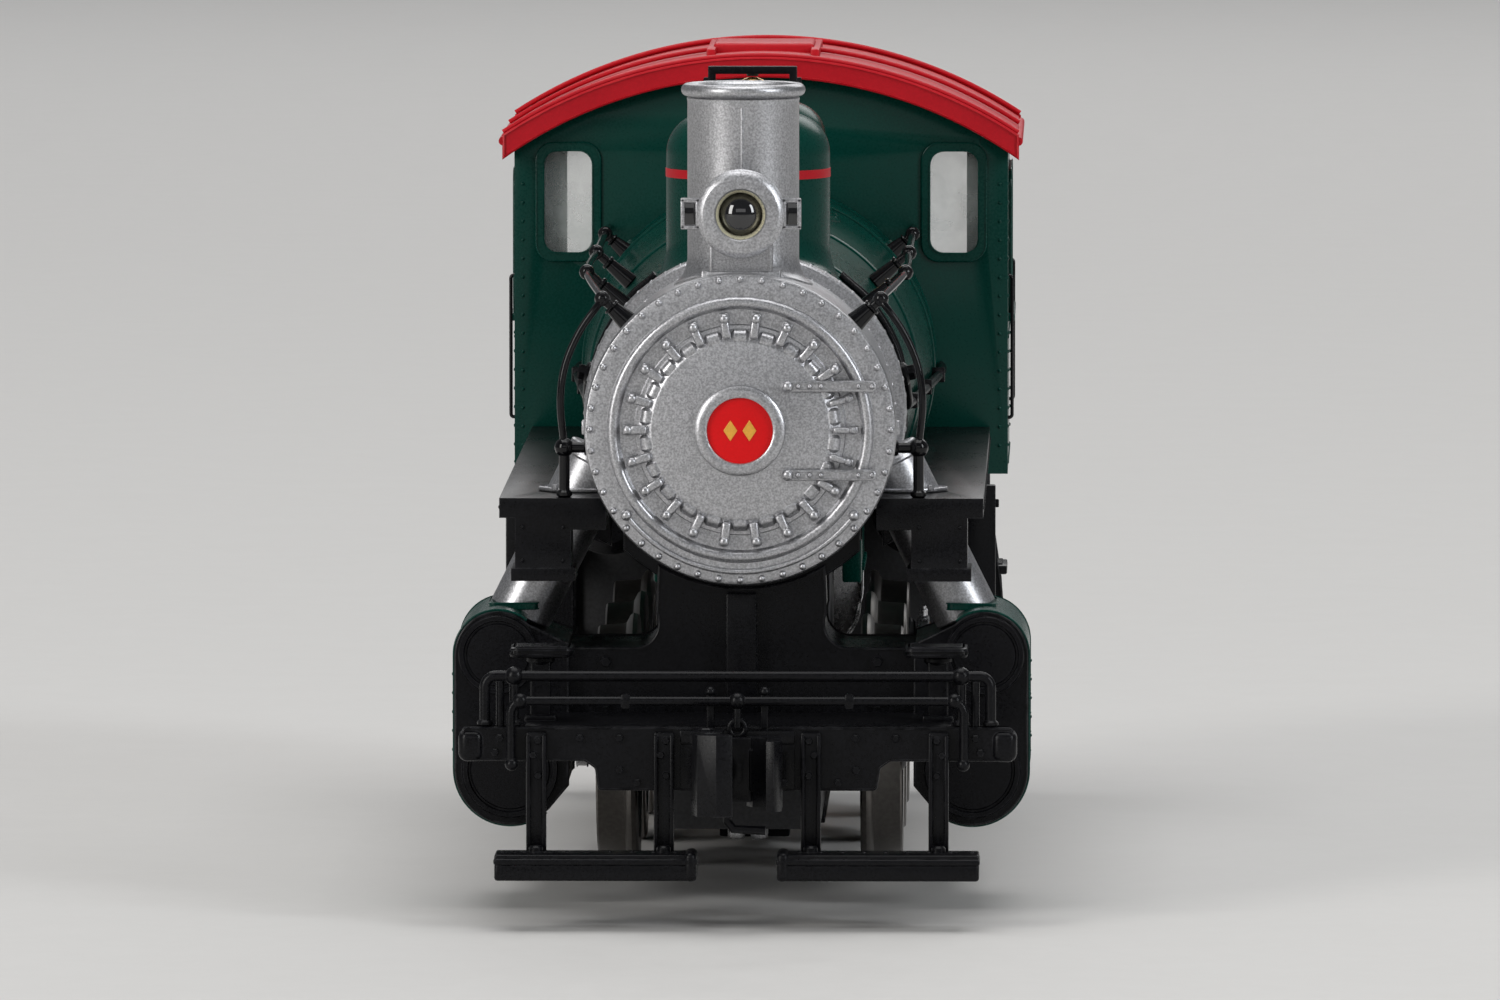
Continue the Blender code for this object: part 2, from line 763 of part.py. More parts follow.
def crank_pin(side, axle_y):
    angle = math.radians(crank_angle(side))
    return (axle_y - CRANK_THROW * math.cos(angle), TREAD_RADIUS - CRANK_THROW * math.sin(angle))


def make_wheels(root):
    end_mesh = baked(wheel_shape(11.4, (SIDE_ROD[1] + 0.05, 11.6), False))
    main_mesh = baked(wheel_shape(12.6, (MAIN_ROD[1] + 0.05, 12.85), True))
    pivots = {}
    for place, y in (("front", -AXLE_SPACING), ("main", 0.0), ("rear", AXLE_SPACING)):
        axis = pivot(f"{place}_axle_axis", 0.0, y, TREAD_RADIUS)
        pivots[place] = axis
        half = [(0.0, 9.8), (AXLE_END_RADIUS, 9.8), (AXLE_END_RADIUS, WHEEL_BACK - 0.05)]
        half += [(AXLE_RADIUS, WHEEL_BACK - 0.05)]
        profile = half + [(radius, -height) for radius, height in reversed(half)]
        axle = turned(profile, Matrix.Translation((0.0, y, TREAD_RADIUS)) @ LEFT, SMALL_ROUND)
        part(f"axle_{place}", axle, "steel", axis)
        for name, side in SIDES.items():
            wheel = helper("wheel", main_mesh.copy() if place == "main" else end_mesh.copy())
            turn = Matrix.Rotation(math.radians(crank_angle(side)), 4, "X")
            if side < 0:
                turn = turn @ Matrix.Rotation(math.pi, 4, "Y")
            wheel.matrix_world = Matrix.Translation(Vector((0.0, y, TREAD_RADIUS)) * MM) @ turn
            part(f"wheel_{place}_{name}", wheel, "black", axis)
    return pivots


def rod_outline(start, end, eye_start, eye_end, half_width):
    """A rod in (y, z): a straight bar between two round eyes."""
    start, end = Vector(start), Vector(end)
    along = math.degrees(math.atan2(end.y - start.y, end.x - start.x))
    spread_start = math.degrees(math.asin(half_width / eye_start))
    spread_end = math.degrees(math.asin(half_width / eye_end))
    first = arc(start, eye_start, along + spread_start, along + 360.0 - spread_start, 9)
    last = arc(end, eye_end, along + 180.0 + spread_end, along + 540.0 - spread_end, 9)
    return [*first, *last]


def make_rods(root):
    hole = PIN_RADIUS + RUNNING
    for name, side in SIDES.items():
        pins = [crank_pin(side, y) for y in (-AXLE_SPACING, 0.0, AXLE_SPACING)]
        axis = pivot(f"crank_axis_{name}", side * 11.0, *pins[1])
        outline = rod_outline(pins[0], pins[2], 1.6, 1.6, 0.75)
        holes = [ring(pins[0], hole), ring(pins[2], hole)]
        side_rod = side_plate([outline, *holes], mirrored(SIDE_ROD, side))
        eye = side_plate([ring(pins[1], 1.75, 18)], mirrored(SIDE_ROD, side))
        join(side_rod, eye)
        y, z = pins[1]
        cut(side_rod, cylinder((side * 10.0, y, z), (side * 11.6, y, z), hole))
        part(f"side_rod_{name}", side_rod, "steel", axis)

        wrist = (wrist_y(side), CYLINDER_Z)
        outline = rod_outline(wrist, pins[1], 1.3, 1.7, 0.8)
        main_rod = side_plate([outline, ring(pins[1], hole)], mirrored(MAIN_ROD, side))
        part(f"main_rod_{name}", main_rod, "steel", axis)

        slide = pivot(f"crosshead_axis_{name}", side * CYLINDER_X, wrist_y(side), CYLINDER_Z)
        part(f"crosshead_{name}", crosshead(side), "steel", slide)


def main_rod_length():
    """Pin to pin, with the crank at its forward dead centre."""
    return math.hypot(-CRANK_THROW - WRIST_FRONT, CYLINDER_Z - TREAD_RADIUS)


def wrist_y(side):
    pin_y, pin_z = crank_pin(side, 0.0)
    return pin_y - math.sqrt(main_rod_length() ** 2 - (pin_z - CYLINDER_Z) ** 2)


def crosshead(side):
    """The sliding block between the guide bars, its wrist pin's head, and the piston rod."""
    y = wrist_y(side)
    block = box(mirrored((12.75, 15.6), side), (y - 2.2, y + 2.2), (CYLINDER_Z - 2.0, CYLINDER_Z + 2.0))
    rod_start = (side * CYLINDER_X, y - 1.5, CYLINDER_Z)
    rod_end = (side * CYLINDER_X, y - 16.0, CYLINDER_Z)
    pin = cylinder((side * 15.0, y, CYLINDER_Z), (side * 15.95, y, CYLINDER_Z), 0.9, 12)
    return join(block, cylinder(rod_start, rod_end, PISTON_ROD_RADIUS, 12), pin)


def gear_outline(pitch_radius, teeth):
    """Straight-flanked teeth, narrow enough to leave backlash against the worm."""
    outline = []
    step = 360.0 / teeth
    root = pitch_radius - 1.15 * GEAR_MODULE
    tip = pitch_radius + 0.9 * GEAR_MODULE
    for i in range(teeth):
        centre = step * i
        for radius, share in ((root, -0.26), (tip, -0.12), (tip, 0.12), (root, 0.26)):
            angle = math.radians(centre + share * step)
            outline.append((radius * math.cos(angle), TREAD_RADIUS + radius * math.sin(angle)))
    return outline


def worm_shape():
    """A single-start right-hand worm about local Z, centred on the origin."""
    lead = math.pi * GEAR_MODULE
    length = lead * WORM_TURNS
    root = WORM_PITCH_RADIUS - 1.05 * GEAR_MODULE
    tip = WORM_PITCH_RADIUS + 0.9 * GEAR_MODULE
    steps = 12
    bm = bmesh.new()
    flank = [(root - 0.3, -0.24), (tip, -0.09), (tip, 0.09), (root - 0.3, 0.24)]
    corners = [bm.verts.new((radius, 0.0, height * lead - length / 2)) for radius, height in flank]
    face = bm.faces.new(corners)
    geometry = [*corners, *face.edges, face]
    bmesh.ops.spin(
        bm,
        geom=geometry,
        axis=(0, 0, 1),
        cent=(0, 0, 0),
        dvec=(0, 0, lead / steps),
        angle=math.tau * WORM_TURNS,
        steps=steps * WORM_TURNS,
        use_duplicate=False,
    )
    bmesh.ops.recalc_face_normals(bm, faces=bm.faces)
    return helper("worm_thread", mesh_from(bm, "worm_thread")), root, length


def make_drive(pivots, root):
    lead_phase = (WORM_TURNS / 2 + 0.75) % 1.0
    pitch_radius = GEAR_MODULE * GEAR_TEETH / 2
    bore = ring((0.0, TREAD_RADIUS), AXLE_RADIUS + GAP)
    gear = side_plate([gear_outline(pitch_radius, GEAR_TEETH), bore], (-1.1, 1.1))
    part("worm_gear", gear, "nylon", pivots["main"])

    axis = pivot("motor_axis", 0.0, 0.0, SHAFT_Z)
    thread, root_radius, length = worm_shape()
    along_engine = Matrix.Rotation(math.radians(-90), 4, "X")
    place = Matrix.Translation(Vector((0.0, 0.0, SHAFT_Z)) * MM) @ along_engine
    thread.matrix_world = place @ Matrix.Rotation(math.tau * lead_phase, 4, "Z")
    half = length / 2 + 0.9
    worm = cylinder((0, -half, SHAFT_Z), (0, half, SHAFT_Z), root_radius, SMALL_ROUND)
    join(worm, thread)
    cut(worm, cylinder((0, -half - 1, SHAFT_Z), (0, half + 1, SHAFT_Z), SHAFT_RADIUS + GAP))
    part("worm", worm, "brass", axis)
    shaft = cylinder((0, -8.8, SHAFT_Z), (0, 20.0, SHAFT_Z), SHAFT_RADIUS)
    part("motor_shaft", shaft, "steel", axis)

    can_outline = rounded(rectangle((-6.6, 6.6), (SHAFT_Z - 5.1, SHAFT_Z + 5.1)), 3.0, 4)
    can = facing_plate([can_outline], (18.2, 34.5))
    join(can, cylinder((0, 17.7, SHAFT_Z), (0, 18.6, SHAFT_Z), 2.2, 16))
    join(can, cylinder((0, 34.2, SHAFT_Z), (0, 35.5, SHAFT_Z), 2.2, 16))
    cut(can, cylinder((0, 17.0, SHAFT_Z), (0, 21.0, SHAFT_Z), SHAFT_RADIUS + RUNNING))
    part("motor", can, "steel", root)


# ---------------------------------------------------------------- frame and underside


def make_frame(root):
    width = FRAME_HALF_WIDTH
    frame = box((-width, width), (-52.5, FRAME_REAR), (FRAME_BOTTOM, FRAME_TOP))
    join(frame, box((-width, width), (FRAME_FRONT, -51.5), (8.2, 10.7)))
    rear_plate = (FRAME_REAR - 2.0, FRAME_REAR)
    join(frame, box((-15.2, 15.2), rear_plate, (FRAME_TOP - 0.8, CAB_BOTTOM - 0.1)))
    join(frame, box((-width, width), (-49.0, -39.5), (FRAME_TOP - 1, 11.5)))
    join(frame, box((-width, width), (-8.4, 8.2), (FRAME_TOP - 1, 18.1)))
    worm_well = box((-3.1, 3.1), (-5.4, 5.4), (SHAFT_Z - 3.6, 20.0))
    gear_well = box((-1.45, 1.45), (-6.3, 6.3), (FRAME_BOTTOM - 1, SHAFT_Z - 3.0))
    shaft_hole = cylinder((0, -10, SHAFT_Z), (0, 10, SHAFT_Z), SHAFT_RADIUS + RUNNING)
    cut(frame, worm_well, gear_well, shaft_hole)
    slot = AXLE_RADIUS + RUNNING
    for y in (-AXLE_SPACING, 0.0, AXLE_SPACING):
        top = arc((y, TREAD_RADIUS), slot, 0.0, 180.0, 8)
        foot = [(y - slot, FRAME_BOTTOM - 1), (y + slot, FRAME_BOTTOM - 1)]
        cut(frame, side_plate([[*top, *foot]], (-8, 8)))
    cut(frame, box((-8, 8), (29.4, 41), (FRAME_BOTTOM - 1, 8.4)))
    cut(frame, box((-3.75, 3.75), (-64, -53.6), (7.0, 12.0)))
    cut(frame, cylinder((0, -28.5, FRAME_BOTTOM - 1), (0, -28.5, 9.0), 0.78, 12))
    drawbar_post = cylinder((0, DRAWBAR_PIVOT_Y, 6.9), (0, DRAWBAR_PIVOT_Y, 9.0), 1.0)
    drawbar_head = cylinder((0, DRAWBAR_PIVOT_Y, 6.3), (0, DRAWBAR_PIVOT_Y, 6.95), 1.9)
    join(frame, drawbar_post, drawbar_head)
    part("frame", frame, "casting", root)

    cover = box((-width, width), (-30.0, 29.0), (3.0, FRAME_BOTTOM - GAP))
    for y in (-AXLE_SPACING, 0.0, AXLE_SPACING):
        keeper_x = (-width, width) if y else (2.0, width)
        join(cover, box(keeper_x, (y - 1.45, y + 1.45), (4.0, TREAD_RADIUS - AXLE_RADIUS - RUNNING)))
    join(cover, box((-width, -2.0), (-1.45, 1.45), (4.0, TREAD_RADIUS - AXLE_RADIUS - RUNNING)))
    join(cover, box((-2.3, 2.3), (-6.4, 6.4), (0.0, 3.5)))
    cut(cover, box((-1.4, 1.4), (-6.1, 6.1), (1.2, 6.0)))
    cut(cover, cylinder((0, -28.5, 2.0), (0, -28.5, 5.0), 0.78, 12))
    part("bottom_cover", cover, "black", root)

    screw = cylinder((0, -28.5, 2.9), (0, -28.5, 8.6), 0.7, 12)
    join(screw, cylinder((0, -28.5, 1.9), (0, -28.5, 2.95), 1.3, 16))
    cut(screw, box((-0.2, 0.2), (-30.5, -26.5), (1.0, 2.3)))
    part("cover_screw", screw, "steel", root)

    strip = box((-4.4, 4.4), (8.5, 25.5), (2.3, 2.93))
    for side in SIDES.values():
        for y in (12.0, 23.0):
            join(strip, box(mirrored((4.0, 7.05), side), (y - 0.5, y + 0.5), (2.3, 2.6)))
            join(strip, box(mirrored((6.8, 7.05), side), (y - 0.5, y + 0.5), (2.3, 5.6)))
    part("pickup_plate", strip, "brass", root)

    axis = pivot("drawbar_axis", 0.0, DRAWBAR_PIVOT_Y, 7.6)
    outline = rod_outline((0.0, DRAWBAR_PIVOT_Y), (0.0, 50.0), 2.2, 2.2, 1.2)
    holes = [ring((0.0, DRAWBAR_PIVOT_Y), 1.08), ring((0.0, 50.0), 1.2)]
    part("drawbar", level_plate([outline, *holes], (7.1, 8.1)), "steel", axis)


# ---------------------------------------------------------------- running boards and cab


def make_running_boards(root):
    under = BOARD_TOP - BOARD_THICKNESS
    for name, side in SIDES.items():
        length = (BOARD_FRONT, CAB_FRONT - GAP)
        board = box(mirrored((8.55, BOARD_EDGE), side), length, (under, BOARD_TOP))
        inner_beam = (under - 0.75, under + 0.3)
        join(board, box(mirrored((8.55, 10.9), side), (BOARD_FRONT, -45.9), inner_beam))
        join(board, box(mirrored((10.75, 14.3), side), (BOARD_FRONT, -46.3), (20.2, under + 0.3)))
        join(board, box(mirrored((10.5, 14.55), side), (BOARD_FRONT - 0.15, -46.1), (20.2, 21.0)))
        cut(board, boiler_space(0.12), steam_pipe(side, 0.1))
        post_hole = cylinder((side * 11.2, -50.2, 25.0), (side * 11.2, -50.2, 27.0), 0.4, 10)
        cut(board, post_hole)
        part(f"running_board_{name}", board, "black", root)


def roof_arc(radius, half_width, steps=16):
    """Points along the roof's curve, from right to left as seen from the front."""
    spread = math.degrees(math.asin(half_width / radius))
    centre = (0.0, ROOF_APEX - ROOF_RADIUS)
    return arc(centre, radius, 90.0 - spread, 90.0 + spread, steps)


def make_cab(root):
    under_roof = ROOF_RADIUS - ROOF_THICKNESS - GAP
    wall = [(-CAB_HALF_WIDTH, CAB_BOTTOM), (CAB_HALF_WIDTH, CAB_BOTTOM)]
    wall += roof_arc(under_roof, CAB_HALF_WIDTH)
    windows = []
    for side in SIDES.values():
        windows.append([(side * x, z) for x, z in rounded(rectangle(*FRONT_WINDOW), 0.9, 2)])
    cab = facing_plate([wall, *windows], (CAB_FRONT, CAB_FRONT + CAB_WALL))
    eave = roof_arc(under_roof, CAB_HALF_WIDTH)[0][1]
    side_wall = rectangle((CAB_FRONT + 0.3, CAB_REAR), (CAB_BOTTOM, eave - 0.02))
    side_window = rounded(rectangle(*SIDE_WINDOW), 1.0, 2)
    for side in SIDES.values():
        inner = CAB_HALF_WIDTH - CAB_WALL
        join(cab, side_plate([side_wall, side_window], mirrored((inner, CAB_HALF_WIDTH), side)))
        rear_strip = mirrored((13.6, CAB_HALF_WIDTH), side)
        join(cab, box(rear_strip, (CAB_REAR - 0.9, CAB_REAR), (CAB_BOTTOM, eave - 0.02)))
    join(cab, box((-16.0, 16.0), (CAB_FRONT + 0.5, CAB_REAR - 0.1), (CAB_BOTTOM, FLOOR_TOP)))
    part("cab", cab, "green", root)

    outer = roof_arc(ROOF_RADIUS, ROOF_HALF_WIDTH, 20)
    inner = roof_arc(ROOF_RADIUS - ROOF_THICKNESS, ROOF_HALF_WIDTH, 20)
    roof = facing_plate([[*outer, *reversed(inner)]], (CAB_FRONT - 2.0, CAB_REAR + 3.0))
    part("cab_roof", roof, "red", root)

    pane = [(15.3, 36.4), (15.3, 44.4), (-15.3, 44.4), (-15.3, 36.4)]
    pane += [(-10.6, 36.4), (-10.6, 43.0), (10.6, 43.0), (10.6, 36.4)]
    inside = CAB_FRONT + CAB_WALL
    part("cab_glazing", facing_plate([pane], (inside + GAP, inside + 0.6)), "glass", root)

    head = cylinder((0, inside + GAP, BOILER_Z), (0, 20.6, BOILER_Z), 10.3, ROUND)
    cut(head, box((-12, 12), (15, 25), (15, FLOOR_TOP + GAP)))
    join(head, cylinder((0, 20.0, 27.5), (0, 21.3, 27.5), 2.4, 16))
    part("backhead", head, "black", root)


# ---------------------------------------------------------------- pilot, footboards, coupler


def make_pilot(root):
    half = [(17.5, BEAM_TOP), (17.5, 9.75), (10.8, 9.75), (10.2, 9.9), (9.4, 9.9)]
    half += [(8.8, 9.2), (8.75, 7.9)]
    outline = rounded(half + [(-x, z) for x, z in reversed(half)], 0.3, 2)
    pilot = facing_plate([outline], (BEAM_FRONT, BEAM_BACK))
    join(pilot, box((-13.4, 13.4), (BEAM_BACK - 0.3, -51.25), (DECK_BOTTOM, BEAM_TOP)))
    for side in SIDES.values():
        join(pilot, box(mirrored((16.7, 17.4), side), (BEAM_FRONT + 0.1, -60.2), (10.1, BEAM_TOP - 0.3)))
        join(pilot, box(mirrored((11.8, 13.2), side), (-57.7, -56.3), (DECK_BOTTOM + 0.2, 16.0)))
        pad = rounded(rectangle((10.4, 14.4), (-59.2, -55.0)), 0.6, 2)
        join(pilot, level_plate([[(side * x, y) for x, y in pad]], (15.95, 16.6)))
        join(pilot, box(mirrored((1.5, 2.0), side), (-62.5, -62.0), (BEAM_TOP - 0.5, 14.0)))
    cut(pilot, box((-3.75, 3.75), (-64, -53.6), (6.0, DECK_BOTTOM + 0.05)))
    part("pilot", pilot, "black", root)

    for name, side in SIDES.items():
        step = rounded(rectangle((2.5, 15.15), (2.5, 4.15)), 0.35, 2)
        board = facing_plate([[(side * x, z) for x, z in step]], (-66.0, -62.3))
        for x in (4.6, 12.6):
            hanger = mirrored((x - 0.62, x + 0.62), side)
            join(board, box(hanger, (-63.35, BEAM_FRONT - GAP), (3.8, 11.6)))
        part(f"footboard_{name}", board, "black", root)

    rail_z = 15.05
    post = 14.0
    foot_z = BEAM_TOP + GAP
    corners = [(-15.85, foot_z), (-15.85, rail_z), (15.85, rail_z), (15.85, foot_z)]
    path = [(x, -62.0, z) for x, z in corners]
    rail = wire(rounded(path, 0.8, 3, closed=False), 0.33)
    for side in SIDES.values():
        join(rail, cylinder((side * post, -62.0, foot_z), (side * post, -62.0, rail_z), 0.33, 8))
        join(rail, ball((side * post, -62.0, rail_z), 0.6))
    part("grab_rail", rail, "black", root)

    corners = [(-14.2, 9.5), (-14.2, 13.6), (14.2, 13.6), (14.2, 9.5)]
    path = [(x, -63.05, z) for x, z in corners]
    lever = wire(rounded(path, 0.8, 3, closed=False), 0.28)
    join(lever, cylinder((0, -63.05, 12.3), (0, -63.05, 13.6), 0.28, 8))
    join(lever, cylinder((0, -63.45, 12.3), (0, -62.7, 12.3), 0.6, 12))
    part("cut_lever", lever, "black", root)


def make_coupler(root):
    pocket = box((-3.6, 3.6), (-62.55, -53.8), (7.9, DECK_BOTTOM - 0.1))
    cut(pocket, box((-2.9, 2.9), (-64, -54.6), (8.8, 10.0)))
    join(pocket, cylinder((0, COUPLER_PIVOT_Y, 8.4), (0, COUPLER_PIVOT_Y, 10.4), 0.9))
    part("coupler_box", pocket, "black", root)

    swing = pivot("coupler_axis", 0.0, COUPLER_PIVOT_Y, COUPLER_Z)
    eye = ring((0.0, COUPLER_PIVOT_Y), 0.9 + RUNNING)
    shank = rod_outline((0.0, COUPLER_PIVOT_Y), (0.0, -63.6), 1.8, 1.4, 1.15)
    head = level_plate([shank, eye], (COUPLER_Z - 0.4, COUPLER_Z + 0.4))
    join(head, box((-2.4, 2.3), (-64.95, -63.9), (7.4, 11.4)))
    guard = [(0.6, -64.2), (2.3, -64.2), (2.85, -65.0), (2.85, -68.0)]
    guard += [(2.4, -68.9), (1.9, -68.7), (1.95, -66.0)]
    join(head, level_plate([[*guard, (1.0, -65.3)]], (7.1, 11.5)))
    px, py = KNUCKLE_PIVOT
    for low, high in ((6.9, 7.6), (11.2, 11.9)):
        lug = [(-2.75, -64.2), (-2.85, -66.3), (-1.9, -67.1), (-0.9, -66.4), (-0.8, -64.2)]
        join(head, level_plate([lug], (low, high)))
    join(head, cylinder((px, py, 7.0), (px, py, 11.8), 0.38, 10))
    trip = [(-0.6, -64.9, 7.8), (-0.6, -64.9, 6.2), (-0.2, -64.9, 5.7), (1.8, -64.9, 5.6)]
    join(head, wire(trip, 0.28))
    part("coupler_head", head, "black", swing)

    hinge = pivot("knuckle_axis", px, py, COUPLER_Z)
    back = arc((px, py), 0.85, 60.0, 200.0, 5)
    hook = [(-2.8, -67.4), (-2.4, -68.6), (-1.2, -69.2), (-0.2, -68.9)]
    hook += [(-0.2, -68.2), (-1.1, -68.1), (-1.3, -66.9)]
    knuckle = level_plate([[*back, *hook], ring((px, py), 0.38 + RUNNING, 10)], (7.7, 11.1))
    nose = [(-2.75, -67.5), *hook[1:5], (-1.05, -67.55)]
    join(knuckle, level_plate([nose], (6.8, 11.9)))
    part("coupler_knuckle", knuckle, "black", hinge)


def main():
    clear_scene()
    make_collection(PARTS_COLLECTION)
    make_collection(HELPERS_COLLECTION)
    root = pivot("locomotive", 0.0, 0.0, 0.0)
    make_frame(root)
    make_cylinders(root)
    make_smokebox(root)
    make_stack_and_headlight(root)
    make_boiler(root)
    make_boiler_fittings(root)
    make_running_boards(root)
    make_cab(root)
    make_pilot(root)
    make_coupler(root)
    pivots = make_wheels(root)
    make_rods(root)
    make_drive(pivots, root)


main()
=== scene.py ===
import math

import bmesh
import bpy
import numpy as np
from mathutils import Matrix, Vector


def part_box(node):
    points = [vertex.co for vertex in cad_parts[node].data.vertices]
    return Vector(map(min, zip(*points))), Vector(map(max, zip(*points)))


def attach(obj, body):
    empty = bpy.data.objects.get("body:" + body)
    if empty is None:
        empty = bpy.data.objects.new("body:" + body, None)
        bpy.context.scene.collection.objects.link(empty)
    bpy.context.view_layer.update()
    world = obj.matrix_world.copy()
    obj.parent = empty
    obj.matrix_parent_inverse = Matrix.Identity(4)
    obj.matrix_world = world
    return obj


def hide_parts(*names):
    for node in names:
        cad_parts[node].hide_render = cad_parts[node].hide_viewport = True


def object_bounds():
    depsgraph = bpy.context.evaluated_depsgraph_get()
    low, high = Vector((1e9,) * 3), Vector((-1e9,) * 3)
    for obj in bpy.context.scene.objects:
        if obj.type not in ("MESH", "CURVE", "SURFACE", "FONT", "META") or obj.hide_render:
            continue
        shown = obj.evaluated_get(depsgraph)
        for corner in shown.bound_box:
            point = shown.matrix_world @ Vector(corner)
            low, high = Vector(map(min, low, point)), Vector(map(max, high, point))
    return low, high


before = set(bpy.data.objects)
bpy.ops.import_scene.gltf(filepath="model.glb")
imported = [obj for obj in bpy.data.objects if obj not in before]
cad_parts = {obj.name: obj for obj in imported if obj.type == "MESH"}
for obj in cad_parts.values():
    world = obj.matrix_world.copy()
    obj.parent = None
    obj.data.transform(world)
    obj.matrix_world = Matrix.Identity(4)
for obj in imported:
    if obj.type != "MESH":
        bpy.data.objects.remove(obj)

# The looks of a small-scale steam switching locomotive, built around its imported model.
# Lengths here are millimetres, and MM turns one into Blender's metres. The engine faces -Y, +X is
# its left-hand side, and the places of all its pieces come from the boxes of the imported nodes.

MM = 0.001
ROUND = 96
SMALL_ROUND = 28
TINY_ROUND = 12
FLOW_STEPS = 8
ROOF_STEPS = 48
EYE_STEPS = 28
RING_EDGE = 0.08
SMOOTH_ANGLE = 35
SIDES = {"left": 1, "right": -1}
CAD_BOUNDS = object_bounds()

UP = Matrix.Identity(4)
FRONT = Matrix.Rotation(math.radians(90), 4, "X")
LEFT = Matrix.Rotation(math.radians(90), 4, "Y")
SIDEWAYS = Matrix(((0, 0, 1, 0), (1, 0, 0, 0), (0, 1, 0, 0), (0, 0, 0, 1)))


# ---------------------------------------------------------------- places taken from the frame


def extent(node):
    """A node's lowest and highest corners, in millimetres."""
    low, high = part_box(node)
    return low / MM, high / MM


def middle(node):
    low, high = extent(node)
    return (low + high) / 2


BARREL_LOW, BARREL_HIGH = extent("smokebox")
BOILER_LOW, BOILER_HIGH = extent("boiler_shell")
DOOR_LOW, DOOR_HIGH = extent("smokebox_front")
AXIS_Z = middle("smokebox").z
BAND_RADIUS = BARREL_HIGH.x
SMOKEBOX_RADIUS = BAND_RADIUS - 0.7
BOILER_FRONT_RADIUS = SMOKEBOX_RADIUS + 0.3
BOILER_REAR_RADIUS = BOILER_HIGH.x
TAPER_FRONT = BOILER_LOW.y + 14.0
TAPER_REAR = BOILER_HIGH.y - 9.0
BARREL = Matrix.Translation((0.0, 0.0, AXIS_Z)) @ FRONT


# ---------------------------------------------------------------- outlines and paths


def arc(centre, radius, start, end, steps):
    """Points on an arc, from one angle in degrees to another."""
    angles = [math.radians(start + (end - start) * i / steps) for i in range(steps + 1)]
    return [(centre[0] + radius * math.cos(a), centre[1] + radius * math.sin(a)) for a in angles]


def ring_of(centre, radius, count, start=0.0):
    """Evenly spaced points on a circle."""
    return arc(centre, radius, start, start + 360.0 * (count - 1) / count, count - 1)


def rectangle(x, y):
    return [(x[0], y[0]), (x[1], y[0]), (x[1], y[1]), (x[0], y[1])]


def rounded(points, radius, steps=5, closed=True):
    """The same path, flat or in space, with each corner replaced by an arc."""
    path = [Vector((*point, 0.0)[:3]) for point in points]
    size = len(points[0])
    result = []
    for i, corner in enumerate(path):
        if not closed and i in (0, len(path) - 1):
            result.append(tuple(corner)[:size])
            continue
        before = (path[i - 1] - corner).normalized()
        after = (path[(i + 1) % len(path)] - corner).normalized()
        half_angle = before.angle(after) / 2
        if half_angle > math.radians(89):
            result.append(tuple(corner)[:size])
            continue
        centre = corner + (before + after).normalized() * (radius / math.sin(half_angle))
        reach = radius / math.tan(half_angle)
        start = corner + before * reach - centre
        end = corner + after * reach - centre
        for k in range(steps + 1):
            turned_part = start.slerp(end, k / steps).normalized() * radius
            result.append(tuple(centre + turned_part)[:size])
    return result


def flowing(points):
    """A smooth path through the given points."""
    path = [Vector(point) for point in points]
    path = [path[0] * 2 - path[1], *path, path[-1] * 2 - path[-2]]
    result = []
    for a, b, c, d in zip(path, path[1:], path[2:], path[3:]):
        for k in range(FLOW_STEPS):
            t = k / FLOW_STEPS
            bend = (a * 2 - b * 5 + c * 4 - d) * (t * t / 2)
            result.append(b + (c - a) * (t / 2) + bend + (b * 3 - a - c * 3 + d) * (t**3 / 2))
    return result + [path[-2]]


def mirrored(outline, side):
    return [(side * x, y) for x, y in outline]


def across(x, side):
    """Limits on X for one side of the engine, lowest first."""
    return sorted((side * x[0], side * x[1]))


# ---------------------------------------------------------------- shells: (points, faces)


def placed(origin, axis=(0, 0, 1)):
    """A matrix that puts local Z along an axis, at a point."""
    return Matrix.Translation(origin) @ Vector(axis).to_track_quat("Z", "Y").to_matrix().to_4x4()


def moved(shell, matrix):
    points, faces = shell
    turn = np.array(matrix.to_3x3())
    return points @ turn.T + np.array(matrix.translation), faces


def merged(shells):
    """Several shells as one."""
    points, faces, count = [], [], 0
    for some, corners in shells:
        points.append(some)
        faces += [tuple(index + count for index in face) for face in corners]
        count += len(some)
    return np.concatenate(points), faces


def copies(shell, places):
    return merged([moved(shell, place) for place in places])


def taken(mesh):
    """The points and faces of a bmesh, which is freed."""
    mesh.verts.index_update()
    points = np.array([vertex.co[:] for vertex in mesh.verts])
    faces = [tuple(vertex.index for vertex in face.verts) for face in mesh.faces]
    mesh.free()
    return points, faces


def turned(profile, placing=UP, segments=ROUND, closed=False):
    """A profile of (radius, height) points turned about local Z."""
    points, loops, faces = [], [], []
    for radius, height in profile:
        count = segments if radius > 0.0001 else 1
        loops.append((len(points), count))
        angles = [math.tau * i / segments for i in range(count)]
        points += [(radius * math.cos(a), radius * math.sin(a), height) for a in angles]
    following = loops[1:] + (loops[:1] if closed else [])
    for (one, size), (two, other) in zip(loops, following):
        if size == other == 1:
            continue
        for i in range(segments):
            k = (i + 1) % segments
            corners = (one + i % size, one + k % size, two + k % other, two + i % other)
            faces.append(tuple(dict.fromkeys(corners)))
    return moved((np.array(points), faces), placing)


def rod(start, end, radius, edge=0.06, segments=SMALL_ROUND, end_radius=None):
    """A round bar with rounded rims, tapering when end_radius is given."""
    start, end = Vector(start), Vector(end)
    length = (end - start).length
    tip = radius if end_radius is None else end_radius
    profile = [(0, 0), (radius - edge, 0), (radius, edge)]
    profile += [(tip, length - edge), (tip - edge, length), (0, length)]
    return turned(profile, placed(start, end - start), segments)


